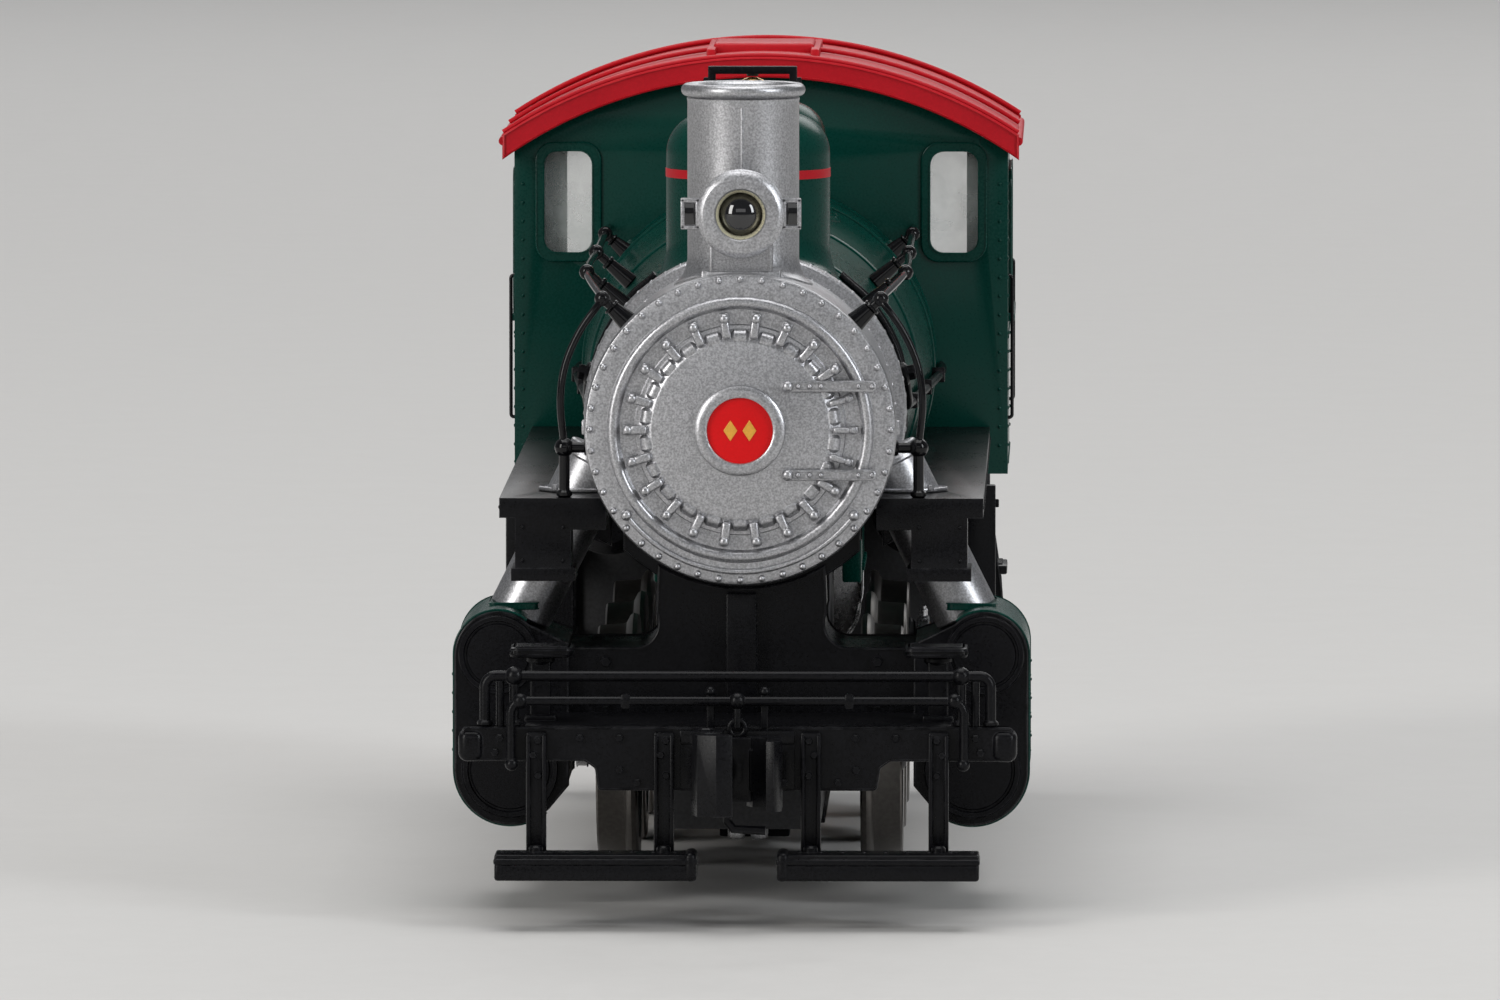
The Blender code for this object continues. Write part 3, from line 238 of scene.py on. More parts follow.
def ball(centre, radius, segments=SMALL_ROUND):
    profile = [(abs(x), y) for x, y in arc((0, 0), radius, 90, -90, segments // 2)]
    return turned(profile, Matrix.Translation(centre), segments)


def bevelled(mesh, edges, width, steps, clamp=False):
    """Rounds some edges of a bmesh."""
    look = {"offset": width, "segments": steps, "profile": 0.5, "affect": "EDGES"}
    bmesh.ops.bevel(mesh, geom=edges, clamp_overlap=clamp, **look)


def block(low, high, edge=0.12, steps=2):
    """A box between two corners, with its edges rounded."""
    low, high = np.minimum(low, high), np.maximum(low, high)
    mesh = bmesh.new()
    size = Matrix.Diagonal((*(high - low), 1.0))
    bmesh.ops.create_cube(mesh, size=1.0, matrix=Matrix.Translation((low + high) / 2) @ size)
    edge = min(edge, min(high - low) * 0.45)
    bevelled(mesh, mesh.edges[:], edge, steps)
    return taken(mesh)


def inset(outline, distance):
    """A closed outline moved inwards, with its corners kept sharp."""
    points = np.array(outline, float)[:, :2]
    ahead = np.roll(points, -1, 0) - points
    ahead /= np.maximum(np.linalg.norm(ahead, axis=1, keepdims=True), 1e-9)
    x, y = points.T
    area = np.sum(x * np.roll(y, -1) - np.roll(x, -1) * y)
    inward = np.column_stack((-ahead[:, 1], ahead[:, 0])) * (1.0 if area > 0 else -1.0)
    before = np.roll(inward, 1, 0)
    share = 1.0 + np.sum(inward * before, axis=1, keepdims=True)
    return points + (inward + before) / np.maximum(share, 0.35) * distance


def rim_steps(depth, edge):
    """Heights and insets up a plate whose rims are rounded."""
    bend = [(edge * (1 - math.sin(a)), edge * (1 - math.cos(a))) for a in np.radians((0, 45, 90))]
    return bend + [(depth - height, shrink) for height, shrink in reversed(bend)]


def stacked(outlines, caps=True):
    """Outlines of equal count, as arrays of points in space, joined one to the next."""
    count = len(outlines[0])
    faces = []
    for level in range(len(outlines) - 1):
        low, high = level * count, (level + 1) * count
        for i in range(count):
            k = (i + 1) % count
            faces.append((low + i, low + k, high + k, high + i))
    if caps:
        faces.append(tuple(range(count)))
        faces.append(tuple(range((len(outlines) - 1) * count, len(outlines) * count)))
    return np.concatenate(outlines), faces


def level_outline(outline, height):
    flat = np.array(outline, float)[:, :2]
    return np.column_stack((flat, np.full(len(flat), height)))


def plate(outline, depth, placing, edge=0.1):
    """A flat outline made solid from local Z 0 to depth, with its rims rounded."""
    edge = min(edge, depth * 0.45)
    rings = [level_outline(inset(outline, shrink), height) for height, shrink in rim_steps(depth, edge)]
    return moved(stacked(rings), placing)


def frame_plate(outer, inner, depth, placing):
    """A flat ring between two outlines with the same number of points."""
    steps = rim_steps(depth, RING_EDGE)
    rings = [level_outline(inset(outer, shrink), height) for height, shrink in steps]
    rings += [level_outline(inset(inner, -shrink), height) for height, shrink in reversed(steps)]
    return moved(stacked([*rings, rings[0]], caps=False), placing)


def facing_plate(outline, y, edge=0.1):
    """A plate whose outline is (x, z) points, between two values of y."""
    return plate(outline, abs(y[1] - y[0]), Matrix.Translation((0, max(y), 0)) @ FRONT, edge)


def side_plate(outline, x, edge=0.1):
    """A plate whose outline is (y, z) points, between two values of x."""
    return plate(outline, abs(x[1] - x[0]), Matrix.Translation((min(x), 0, 0)) @ SIDEWAYS, edge)


def level_plate(outline, z, edge=0.1):
    """A plate whose outline is (x, y) points, between two heights."""
    return plate(outline, abs(z[1] - z[0]), Matrix.Translation((0, 0, min(z))), edge)


def tube(path, radius, segments=SMALL_ROUND):
    """A wire along a path."""
    path = [Vector(point) for point in path]
    last = len(path) - 1
    normal = (path[1] - path[0]).orthogonal().normalized()
    points, faces = [], []
    for i, point in enumerate(path):
        along = (path[min(i + 1, last)] - path[max(i - 1, 0)]).normalized()
        normal = (normal - along * normal.dot(along)).normalized()
        side = along.cross(normal)
        for k in range(segments):
            angle = math.tau * k / segments
            points.append(point + (normal * math.cos(angle) + side * math.sin(angle)) * radius)
    for i in range(last):
        for k in range(segments):
            one, two = i * segments, (i + 1) * segments
            n = (k + 1) % segments
            faces.append((one + k, one + n, two + n, two + k))
    faces.append(tuple(range(segments)))
    faces.append(tuple(last * segments + k for k in range(segments)))
    return np.array(points), faces


def refined(node, edge=0.1, steps=2, corner=32):
    """A node's own shape, with its sharp edges rounded."""
    mesh = bmesh.new()
    mesh.from_mesh(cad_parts[node].data)
    bmesh.ops.scale(mesh, vec=(1 / MM,) * 3, verts=mesh.verts)
    bmesh.ops.remove_doubles(mesh, verts=mesh.verts, dist=0.0008)
    flat = math.radians(0.7)
    bmesh.ops.dissolve_limit(mesh, angle_limit=flat, verts=mesh.verts, edges=mesh.edges)
    bmesh.ops.recalc_face_normals(mesh, faces=mesh.faces)
    limit = math.radians(corner)
    sharp = [e for e in mesh.edges if e.is_manifold and e.calc_face_angle() > limit]
    if edge:
        bevelled(mesh, sharp, edge, steps, True)
    return taken(mesh)


def rivet(radius, height):
    """A round-headed rivet on the plane z = 0."""
    profile = [(0, height), (radius * 0.5, height * 0.88), (radius * 0.87, height * 0.5)]
    return turned([*profile, (radius, 0), (radius, -0.12), (0, -0.12)], UP, TINY_ROUND)


def hexagon_bolt(radius, height):
    """A hexagon head with a chamfered top."""
    profile = [(0, height), (radius * 0.8, height), (radius, height * 0.75)]
    return turned([*profile, (radius, -0.12), (0, -0.12)], UP, 6)


def bolt(radius, height, place):
    """One hexagon head at a place."""
    return moved(hexagon_bolt(radius, height), place)


def outward(side, x, y, z):
    """A place on one side of the engine that faces away from its middle."""
    return placed((side * x, y, z), (side, 0, 0))


def forward(x, y, z):
    """A place that faces the front of the engine."""
    return placed((x, y, z), (0, -1, 0))


def side_block(side, x, y, z, edge=0.12, steps=2):
    """A block on one side of the engine, from its limits on X, Y and Z."""
    return block((side * x[0], y[0], z[0]), (side * x[1], y[1], z[1]), edge, steps)


def around_barrel(count, y, radius, start=0.0):
    """Places on the boiler's surface, facing outwards, in a row round it."""
    places = []
    for i in range(count):
        angle = math.radians(start + 360.0 * i / count)
        out = Vector((math.sin(angle), 0.0, math.cos(angle)))
        places.append(placed(Vector((0.0, y, AXIS_Z)) + out * radius, out))
    return places


# ---------------------------------------------------------------- materials


def add(tree, kind, inputs=(), **settings):
    """A new shader node, with values set or other nodes' outputs linked to its inputs."""
    node = tree.nodes.new(kind)
    for key, value in settings.items():
        setattr(node, key, value)
    for key, value in dict(inputs).items():
        if isinstance(value, bpy.types.NodeSocket):
            tree.links.new(value, node.inputs[key])
        else:
            node.inputs[key].default_value = value
    return node


def mixed(tree, factor, first, second):
    node = add(tree, "ShaderNodeMix", {0: factor, 6: first, 7: second}, data_type="RGBA")
    return node.outputs[2]


def sum_of(tree, operation, first, second):
    node = add(tree, "ShaderNodeMath", {0: first, 1: second}, operation=operation)
    return node.outputs[0]


def rescaled(tree, value, old, new):
    inputs = {0: value, 1: old[0], 2: old[1], 3: new[0], 4: new[1]}
    return add(tree, "ShaderNodeMapRange", inputs).outputs[0]


def cloud(tree, place, size, detail=3.0, seed=0.0):
    """Soft noise whose lumps are about size millimetres across."""
    shift = add(tree, "ShaderNodeMapping", {"Vector": place, "Location": (seed, seed, seed)})
    inputs = {"Vector": shift.outputs[0], "Scale": 1.0 / (size * MM), "Detail": detail}
    return add(tree, "ShaderNodeTexNoise", inputs).outputs["Fac"]


def worn_edges(tree, place, reach):
    """Bright where the surface turns a sharp corner, broken up by noise."""
    bevel = add(tree, "ShaderNodeBevel", {"Radius": reach * MM}, samples=4).outputs[0]
    true_normal = add(tree, "ShaderNodeNewGeometry").outputs["True Normal"]
    inputs = {0: bevel, 1: true_normal}
    dot = add(tree, "ShaderNodeVectorMath", inputs, operation="DOT_PRODUCT").outputs["Value"]
    edge = rescaled(tree, dot, (0.97, 0.75), (0.0, 1.0))
    breaks = rescaled(tree, cloud(tree, place, 0.9, 6.0, 3.0), (0.42, 0.62), (0.0, 1.0))
    return sum_of(tree, "MULTIPLY", edge, breaks)


def tinted(colour, share):
    return (*[min(max(c * share, 0.0), 1.0) for c in colour], 1.0)


GRAIN_DEPTH = 0.007


def surface(name, colour, roughness, metallic=0.0, worn=None, **look):
    """A painted or bare finish with grain, tone, dust, edge wear and fine texture."""
    look = {"blotch": 0.14, "grain": 0.16, "speck": 0.1, "bump": 0.25, "coat": 0.0} | look
    look = {"wear": 0.35, "specular": 0.5} | look
    material = bpy.data.materials.new(name)
    material.use_nodes = True
    tree = material.node_tree
    shader = tree.nodes["Principled BSDF"]
    place = add(tree, "ShaderNodeTexCoord").outputs["Object"]
    patches = cloud(tree, place, 7.0, 4.0)
    fine = cloud(tree, place, look["grain"], 2.0, 1.0)
    dark, light = [tinted(colour, 1.0 + sign * look["blotch"]) for sign in (-1, 1)]
    tone = mixed(tree, patches, dark, light)
    specks = rescaled(tree, fine, (0.35, 0.68), (0.0, 1.0))
    shade = mixed(tree, specks, (*[1.0 - look["speck"]] * 3, 1.0), (*[1.0 + look["speck"]] * 3, 1.0))
    blend = {0: 1.0, 6: tone, 7: shade}
    tone = add(tree, "ShaderNodeMix", blend, data_type="RGBA", blend_type="MULTIPLY").outputs[2]
    rubbed = sum_of(tree, "MULTIPLY", worn_edges(tree, place, 0.14), look["wear"])
    tone = mixed(tree, rubbed, tone, (*(worn or tinted(colour, 1.6)[:3]), 1.0))
    rough = rescaled(tree, patches, (0.3, 0.7), (roughness * 0.88, roughness * 1.12))
    rough = sum_of(tree, "ADD", rough, rescaled(tree, fine, (0.3, 0.7), (-0.04, 0.04)))
    grain = {"Strength": look["bump"], "Distance": GRAIN_DEPTH * MM, "Height": fine}
    bump = add(tree, "ShaderNodeBump", grain)
    tree.links.new(tone, shader.inputs["Base Color"])
    tree.links.new(rough, shader.inputs["Roughness"])
    tree.links.new(bump.outputs[0], shader.inputs["Normal"])
    shader.inputs["Metallic"].default_value = metallic
    shader.inputs["Specular IOR Level"].default_value = look["specular"]
    shader.inputs["Coat Weight"].default_value = look["coat"]
    shader.inputs["Coat Roughness"].default_value = 0.15
    return material


def paint(slot, *look, **more):
    """A surface, with the name of the material slot that it stands for."""
    return surface(*look, **more), slot


def make_finishes():
    """Every finish by its name, in the order in which their materials are made."""
    return {
        "silver": paint(
            "smokebox_silver", "silver_paint", (0.45, 0.45, 0.465), 0.36, 0.88, (0.72, 0.72, 0.73),
            grain=0.12, speck=0.26, bump=1.0, blotch=0.03, wear=0.5
        ),
        # Tyres: bright steel painted dark and brownish, as painted shade for the shade they sit in under
        # the engine.
        "tyre": paint(
            "bright_steel", "wheel_tyre", (0.16, 0.15, 0.14), 0.36, 1.0, (0.4, 0.4, 0.4), grain=0.3,
            speck=0.1, bump=0.4
        ),
        "green": paint(
            "boiler_green", "green_paint", (0.0, 0.038, 0.028), 0.28, 0.0, (0.005, 0.1, 0.08),
            speck=0.06, bump=0.3, coat=0.06, specular=0.16
        ),
        "red": paint(
            "roof_red", "red_paint", (0.46, 0.004, 0.012), 0.42, 0.0, (0.65, 0.05, 0.05), speck=0.05,
            bump=0.3, specular=0.25
        ),
        "plate_red": paint(
            "plate_red", "plate_enamel", (0.66, 0.0, 0.002), 0.35, 0.0, speck=0.03, bump=0.1, wear=0.1,
            specular=0.3
        ),
        "gold": paint("bell_brass", "gold_enamel", (0.84, 0.42, 0.06), 0.35, 0.3, speck=0.06, wear=0.1),
        "black": paint(
            "black_moulding", "black_moulding", (0.004, 0.004, 0.005), 0.3, 0.0, (0.05, 0.05, 0.055),
            speck=0.35, bump=0.6, wear=0.5, specular=0.15
        ),
        "gloss_black": paint(
            "black_moulding", "gloss_black", (0.003, 0.003, 0.004), 0.12, 0.0, (0.04, 0.04, 0.04),
            speck=0.15, bump=0.2, wear=0.2, specular=0.3
        ),
        "wheel_black": paint(
            "wheel_black", "wheel_black", (0.012, 0.012, 0.013), 0.45, 0.0, (0.1, 0.1, 0.1), speck=0.3,
            bump=0.7, specular=0.35
        ),
        "steel": paint(
            "bright_steel", "bright_steel", (0.46, 0.46, 0.47), 0.27, 1.0, (0.75, 0.75, 0.75), grain=0.3,
            speck=0.08, bump=0.5
        ),
        "casting": paint(
            "frame_casting", "frame_casting", (0.02, 0.02, 0.022), 0.5, 0.3, (0.16, 0.16, 0.17),
            speck=0.3, bump=1.0, grain=0.25
        ),
        "brass": paint(
            "bell_brass", "bell_brass", (0.78, 0.5, 0.16), 0.24, 1.0, (0.95, 0.75, 0.4), speck=0.06
        ),
        "bronze": paint(
            "phosphor_bronze", "phosphor_bronze", (0.6, 0.33, 0.16), 0.3, 1.0, speck=0.08, bump=0.4
        ),
        "board": paint(
            "circuit_green", "circuit_green", (0.008, 0.11, 0.04), 0.35, 0.0, speck=0.15, coat=0.4
        ),
        "nylon": paint("gear_nylon", "gear_nylon", (0.72, 0.69, 0.6), 0.45, 0.0, speck=0.05, bump=0.4),
        "reflector": paint(
            "bell_brass", "lamp_reflector", (0.95, 0.86, 0.62), 0.3, 0.4, speck=0.04, wear=0.1
        ),
        "lens": paint(
            "clear_lens", "dark_lens", (0.002, 0.002, 0.003), 0.03, 0.0, speck=0.1, bump=0.0, wear=0.0,
            specular=1.0
        ),
        "glass": (window_glass(), "clear_lens"),
    }


def window_glass():
    """A thin clear pane with faint smears."""
    material = surface("cab_glass", (0.75, 0.8, 0.78), 0.06, 0.0, speck=0.02, bump=0.05, wear=0.1)
    tree = material.node_tree
    shader = tree.nodes["Principled BSDF"]
    place = add(tree, "ShaderNodeTexCoord").outputs["Object"]
    smears = rescaled(tree, cloud(tree, place, 2.5, 5.0, 7.0), (0.4, 0.7), (0.22, 0.4))
    tree.links.new(smears, shader.inputs["Alpha"])
    return material


FINISHES = make_finishes()


def piece(name, shells, finish, body="chassis", stands_for=()):
    """Shells made into one named object that rides on a body."""
    points, faces = merged(shells)
    mesh = bpy.data.meshes.new(name)
    mesh.from_pydata((points * MM).tolist(), [], faces)
    clean = bmesh.new()
    clean.from_mesh(mesh)
    bmesh.ops.recalc_face_normals(clean, faces=clean.faces)
    clean.to_mesh(mesh)
    clean.free()
    mesh.shade_smooth()
    mesh.set_sharp_from_angle(angle=math.radians(SMOOTH_ANGLE))
    material, slot = FINISHES[finish]
    mesh.materials.append(material)
    obj = bpy.data.objects.new(name, mesh)
    bpy.context.scene.collection.objects.link(obj)
    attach(obj, body)
    if stands_for:
        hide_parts(*stands_for)
    return obj


def repaint(node, finish):
    """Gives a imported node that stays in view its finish."""
    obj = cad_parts[node]
    obj.data.materials.clear()
    obj.data.materials.append(FINISHES[finish][0])


# ---------------------------------------------------------------- smokebox


def make_smokebox():
    front, rear = -BARREL_LOW.y, -BARREL_HIGH.y
    band = rear + 2.5
    inner = SMOKEBOX_RADIUS - 0.8
    profile = [
        (inner, front),
        (SMOKEBOX_RADIUS - 0.08, front),
        (SMOKEBOX_RADIUS, front - 0.08),
        (SMOKEBOX_RADIUS, band + 0.05),
        (BAND_RADIUS - 0.12, band),
        (BAND_RADIUS, band - 0.12),
        (BAND_RADIUS, rear + 0.12),
        (BAND_RADIUS - 0.12, rear),
        (inner, rear),
    ]
    shells = [turned(profile, BARREL, closed=True)]
    head = rivet(0.16, 0.09)
    shells.append(copies(head, around_barrel(44, -front + 0.7, SMOKEBOX_RADIUS, 4.1)))
    shells.append(copies(head, around_barrel(48, -band - 0.55, SMOKEBOX_RADIUS, 3.75)))
    for y in (-band + 0.5, -rear - 0.5):
        shells.append(copies(rivet(0.14, 0.05), around_barrel(60, y, BAND_RADIUS)))
    for side in SIDES.values():
        lug = SMOKEBOX_RADIUS + 0.45
        low = (side * (SMOKEBOX_RADIUS - 0.3), -front + 0.1, AXIS_Z - 0.45)
        shells.append(block(low, (side * lug, -front + 1.3, AXIS_Z + 0.45), 0.1))
    piece("smokebox_barrel", shells, "silver", stands_for=["smokebox"])


RING_RADIUS = DOOR_HIGH.x
RING_FACE = -DOOR_LOW.y - 1.1
DOG_COUNT = 22
HINGE_HEIGHT = 2.8
HINGE_HALF = 0.35
FRONT_RIVETS = 44
FRONT_RIVET_CIRCLE = 9.5
HANDHOLD_CIRCLE = 8.98


def door_profile():
    """The ring, bead, groove and raised door, from the middle outwards and back."""
    face = RING_FACE
    bead = arc((8.05, face - 0.04), 0.38, 172.0, 8.0, 10)
    profile = [(0.0, face + 0.62), (5.52, face + 0.62), (5.7, face + 0.56), (6.28, face + 0.14)]
    profile += [(6.42, face + 0.1), (6.6, face + 0.08), (6.68, face - 0.1), (7.6, face - 0.1)]
    profile += bead
    profile += [(RING_RADIUS - 0.26, face), (RING_RADIUS - 0.1, face - 0.06)]
    profile += [(RING_RADIUS - 0.02, face - 0.2), (RING_RADIUS, face - 0.4)]
    profile += [(RING_RADIUS, face - 1.4), (8.5, face - 1.4)]
    profile += [(8.5, face - 2.8), (0.0, face - 2.8)]
    return profile


def on_face(x, z, out=0.0):
    """A point on the plane of the smokebox front, at a distance from the boiler's axis."""
    return Vector((x, -(RING_FACE + out), AXIS_Z + z))


def polar(radius, degrees):
    """X and height of a point at an angle clockwise from the top."""
    angle = math.radians(degrees)
    return radius * math.sin(angle), radius * math.cos(angle)


def dog(size=1.0):
    """A door clamp: a bar over the door's edge, its bolt and the lug under it."""
    bar = block((-0.29 * size, 5.85, 0.2), (0.29 * size, 6.95, 0.78), 0.18, 3)
    foot = block((-0.34 * size, 6.75, -0.2), (0.34 * size, 7.45, 0.4), 0.16, 3)
    stud = rod((0, 7.1, 0.1), (0, 7.1, 0.9), 0.2 * size, 0.06, 16)
    nut = ball((0, 7.1, 0.6), 0.35 * size, 20)
    return merged([bar, foot, stud, nut])


def dogs():
    shells = []
    plain, small = dog(), dog(0.75)
    for i in range(DOG_COUNT):
        degrees = (i + 0.5) * 360.0 / DOG_COUNT
        shape = small if 60 < degrees < 120 else plain
        turn = Matrix.Translation(on_face(0, 0)) @ FRONT @ Matrix.Rotation(-math.radians(degrees), 4, "Z")
        shells.append(moved(shape, turn))
    return shells


def cushions():
    """The raised pads on the door's sloping edge, one between each two clamps."""
    shells = []
    for i in range(DOG_COUNT):
        degrees = i * 360.0 / DOG_COUNT
        ends = [on_face(*polar(5.86, degrees + turn), 0.06) for turn in (-5.5, 5.5)]
        shells.append(rod(*ends, 0.56, 0.2, 40))
    return shells


def hinges():
    """Two straps over the door, with their rivets and pins."""
    shells = []
    head = rivet(0.17, 0.16)
    for height in (HINGE_HEIGHT, -HINGE_HEIGHT):
        levels = (AXIS_Z + height - HINGE_HALF, AXIS_Z + height + HINGE_HALF)
        strap = rounded(rectangle((3.0, 8.6), levels), 0.3)
        shells.append(facing_plate(strap, (on_face(0, 0, 0.98).y, on_face(0, 0, 0.4).y), 0.14))
        shells.append(ball(on_face(3.0, height, 0.9), 0.38, 24))
        places = [on_face(x, height, 0.97) for x in (3.67, 4.4, 5.1, 7.46, 8.3)]
        shells.append(copies(head, [placed(place, (0, -1, 0)) for place in places]))
    return shells


def make_smokebox_front():
    shells = [turned(door_profile(), BARREL, 160)]
    head = rivet(0.24, 0.26)
    turns = [i * 360.0 / FRONT_RIVETS for i in range(FRONT_RIVETS)]
    spots = [placed(on_face(*polar(FRONT_RIVET_CIRCLE, turn)), (0, -1, 0)) for turn in turns]
    shells.append(copies(head, spots))
    piece("smokebox_door", shells, "silver", stands_for=["smokebox_front"])
    piece("door_clamps", dogs(), "silver")
    piece("door_cushions", cushions(), "silver")
    piece("door_hinges", hinges(), "silver")

    bar = [on_face(*polar(HANDHOLD_CIRCLE, degrees), 0.12) for degrees in np.linspace(128, 232, 60)]
    knobs = [ball(on_face(*polar(HANDHOLD_CIRCLE, degrees), 0.15), 0.36, 20) for degrees in (127, 233)]
    piece("door_handhold", [tube(bar, 0.17, 16), *knobs], "silver")


def make_number_plate():
    low, high = extent("number_plate")
    front, radius = -low.y, high.x
    face = front - 0.3
    profile = [(2.06, face - 0.05), (2.1, front - 0.06), (2.22, front), (2.6, front)]
    profile += [(radius - 0.06, front - 0.14), (radius, front - 0.3), (radius, -high.y), (2.06, -high.y)]
    piece("number_plate_rim", [turned(profile, BARREL, closed=True)], "silver", stands_for=["number_plate"])
    disc = [(0, face), (2.09, face), (2.09, -high.y + 0.05), (0, -high.y + 0.05)]
    piece("number_plate_disc", [turned(disc, BARREL)], "plate_red")

    diamond = [(0.0, 0.66), (0.44, 0.0), (0.0, -0.66), (-0.44, 0.0)]
    marks = []
    for x in (-0.6, 0.6):
        outline = [(x + dx, AXIS_Z + dz) for dx, dz in diamond]
        marks.append(facing_plate(outline, (-face - 0.06, -face + 0.05), 0.02))
    piece("number_plate_diamonds", marks, "gold")


# ---------------------------------------------------------------- stack, headlight, domes


def boiler_radius(y):
    """The outer radius of the smokebox and boiler at one place along the engine."""
    if y < BARREL_HIGH.y:
        return SMOKEBOX_RADIUS
    share = min(max((y - TAPER_FRONT) / (TAPER_REAR - TAPER_FRONT), 0.0), 1.0)
    return BOILER_FRONT_RADIUS + (BOILER_REAR_RADIUS - BOILER_FRONT_RADIUS) * share


def boiler_top(x, y):
    """The height of the boiler's surface over a point."""
    return AXIS_Z + math.sqrt(max(boiler_radius(y) ** 2 - x * x, 0.0))


def standing(profile, y, skirt):
    """A turned shape on the boiler's top: the skirt's heights follow the boiler's curve."""
    points, faces = turned([*profile, *skirt], Matrix.Translation((0, y, 0)))
    first = sum(ROUND if radius > 0.0001 else 1 for radius, _ in profile)
    for i in range(first, len(points)):
        points[i][2] += boiler_top(points[i][0], points[i][1])
    return points, faces


def skirt_of(radius, flare, height):
    """The fillet and rim at the foot of a dome or stack, down to just inside the boiler."""
    curve = arc((radius + flare, height), flare, 180.0, 262.0, 7)
    foot = [(r, height + (h - height) * (height - 0.16) / flare) for r, h in curve]
    rim = radius + flare
    return [*foot, (rim + 0.12, 0.12), (rim + 0.14, -0.02), (rim, -0.4)]


def make_stack():
    y, top = middle("smokestack").y, extent("smokestack")[1].z
    bead_radius = 0.42
    radius = 3.55
    rim = 3.95 - bead_radius
    bead = arc((rim, top - bead_radius), bead_radius, 150.0, -100.0, 12)
    bore = 2.95
    profile = [(0, top - 9.0), (bore - 0.1, top - 9.0), (bore, top - 1.2), (rim - 0.4, top - 0.25)]
    profile += [*bead, (radius + 0.04, top - 0.95), (radius, top - 1.2)]
    skirt = skirt_of(radius, 0.72, 1.5)
    seam_top, seam_foot = top - 1.4, boiler_top(0, y) + 1.6
    seam = block((-0.09, y - radius - 0.07, seam_foot), (0.09, y - radius + 0.1, seam_top), 0.05)
    piece("stack_body", [standing(profile, y, skirt), seam], "silver", stands_for=["smokestack"])


def make_headlight():
    low, high = extent("headlight_housing")
    front = -low.y
    centre = middle("headlight_lens").z
    placing = Matrix.Translation((0.0, 0.0, centre)) @ FRONT
    outer = high.z - centre
    hole = 1.58
    back = front - 4.6
    profile = [
        (0, front - 2.9),
        (hole - 0.45, front - 2.9),
        (hole - 0.06, front - 1.2),
        (hole, front - 0.1),
        (hole + 0.09, front),
        (outer - 0.42, front),
        (outer - 0.3, front - 0.03),
        (outer, front - 0.3),
        (outer, front - 0.95),
        (outer - 0.12, front - 1.05),
        (outer - 0.12, front - 2.4),
        (outer, front - 2.5),
        (outer, front - 2.9),
        (outer - 0.2, front - 3.05),
        (outer - 0.25, back + 0.3),
        (outer - 0.6, back),
        (0, back),
    ]
    shells = [turned(profile, placing)]
    foot = boiler_top(2.05, -front) - 0.3
    pedestal = rectangle((-2.0, 2.0), (foot, centre - outer + 0.75))
    shells.append(facing_plate(pedestal, (-front + 1.35, -front + 4.3), 0.15))
    base = boiler_top(0.0, -front) + 0.28
    shells.append(block((-2.5, -front + 1.2, foot - 0.2), (2.5, -front + 4.4, base), 0.12))
    for side in SIDES.values():
        shells += number_board(side, centre, high.x, -front + 1.35)
    piece("headlight_case", shells, "silver", stands_for=["headlight_housing"])
    for name, side in SIDES.items():
        depth = (-front + 1.33, -front + 1.5)
        pane = side_block(side, (2.88, high.x - 0.22), depth, (centre - 0.68, centre + 0.68), 0.03)
        piece(f"number_board_pane_{name}", [pane], "lens")
    make_lamp(placing, front, hole)


def make_lamp(placing, front, hole):
    """The reflector and the glass inside the headlight."""
    cone = [(1.36, front - 0.85), (1.42, front - 0.5), (hole - 0.02, front - 0.22)]
    cone += [(hole - 0.02, front - 2.5), (1.36, front - 2.5)]
    piece("headlight_reflector", [turned(cone, placing, closed=True)], "reflector")
    radius = 1.4
    cap = [(max(x, 0.0), front - 1.15 + z * 0.8) for x, z in arc((0, 0), radius, 90, 0, 16)]
    lens = [*cap, (radius, front - 2.5), (0, front - 2.5)]
    piece("headlight_glass", [turned(lens, placing)], "lens", stands_for=["headlight_lens"])


def number_board(side, centre, reach, front):
    """The frame and body of a small lamp board beside the headlight."""
    levels = (centre - 0.95, centre + 0.95)
    shells = [side_block(side, (2.2, reach), (front + 0.12, front + 1.3), levels, 0.1)]
    for z in (-0.86, 0.86):
        low = (side * 2.6, front - 0.06, centre + z - 0.13)
        shells.append(block(low, (side * reach, front + 0.4, centre + z + 0.13), 0.06))
    for x in (2.72, reach - 0.13):
        low = (side * (x - 0.13), front - 0.06, centre - 0.95)
        shells.append(block(low, (side * (x + 0.13), front + 0.4, centre + 0.95), 0.06))
    return shells


def dome_profile(radius, top, corner):
    crown = [(0.0, top), (radius * 0.3, top - 0.06), (radius - corner - 0.2, top - 0.24)]
    return crown + arc((radius - corner, top - corner - 0.3), corner, 84.0, 0.0, 14)


def make_domes():
    for name, stripe in (("sand_dome", True), ("steam_dome", False)):
        high = extent(name)[1]
        y, top = middle(name).y, high.z
        radius = high.y - y - 0.75
        skirt = skirt_of(radius, 0.78, 1.7)
        shells = [standing(dome_profile(radius, top, 2.6), y, skirt)]
        shells.append(copies(rivet(0.16, 0.12), skirt_places(y, radius + 0.62, 20)))
        piece(f"{name}_shell", shells, "green", stands_for=[name])
        if stripe:
            height = top - 4.1
            line = [(radius - 0.2, height + 0.3), (radius + 0.035, height + 0.28)]
            line += [(radius + 0.035, height - 0.28), (radius - 0.2, height - 0.3)]
            placing = Matrix.Translation((0, y, 0))
            piece(f"{name}_stripe", [turned(line, placing, closed=True)], "red")
            lid = [(0, top + 0.42), (1.3, top + 0.4), (1.45, top + 0.25), (1.45, top - 0.2), (0, top - 0.2)]
            knob = rod((0, y, top + 0.3), (0, y, top + 0.85), 0.35, 0.12)
            piece("sand_hatch", [turned(lid, placing), knob], "green")


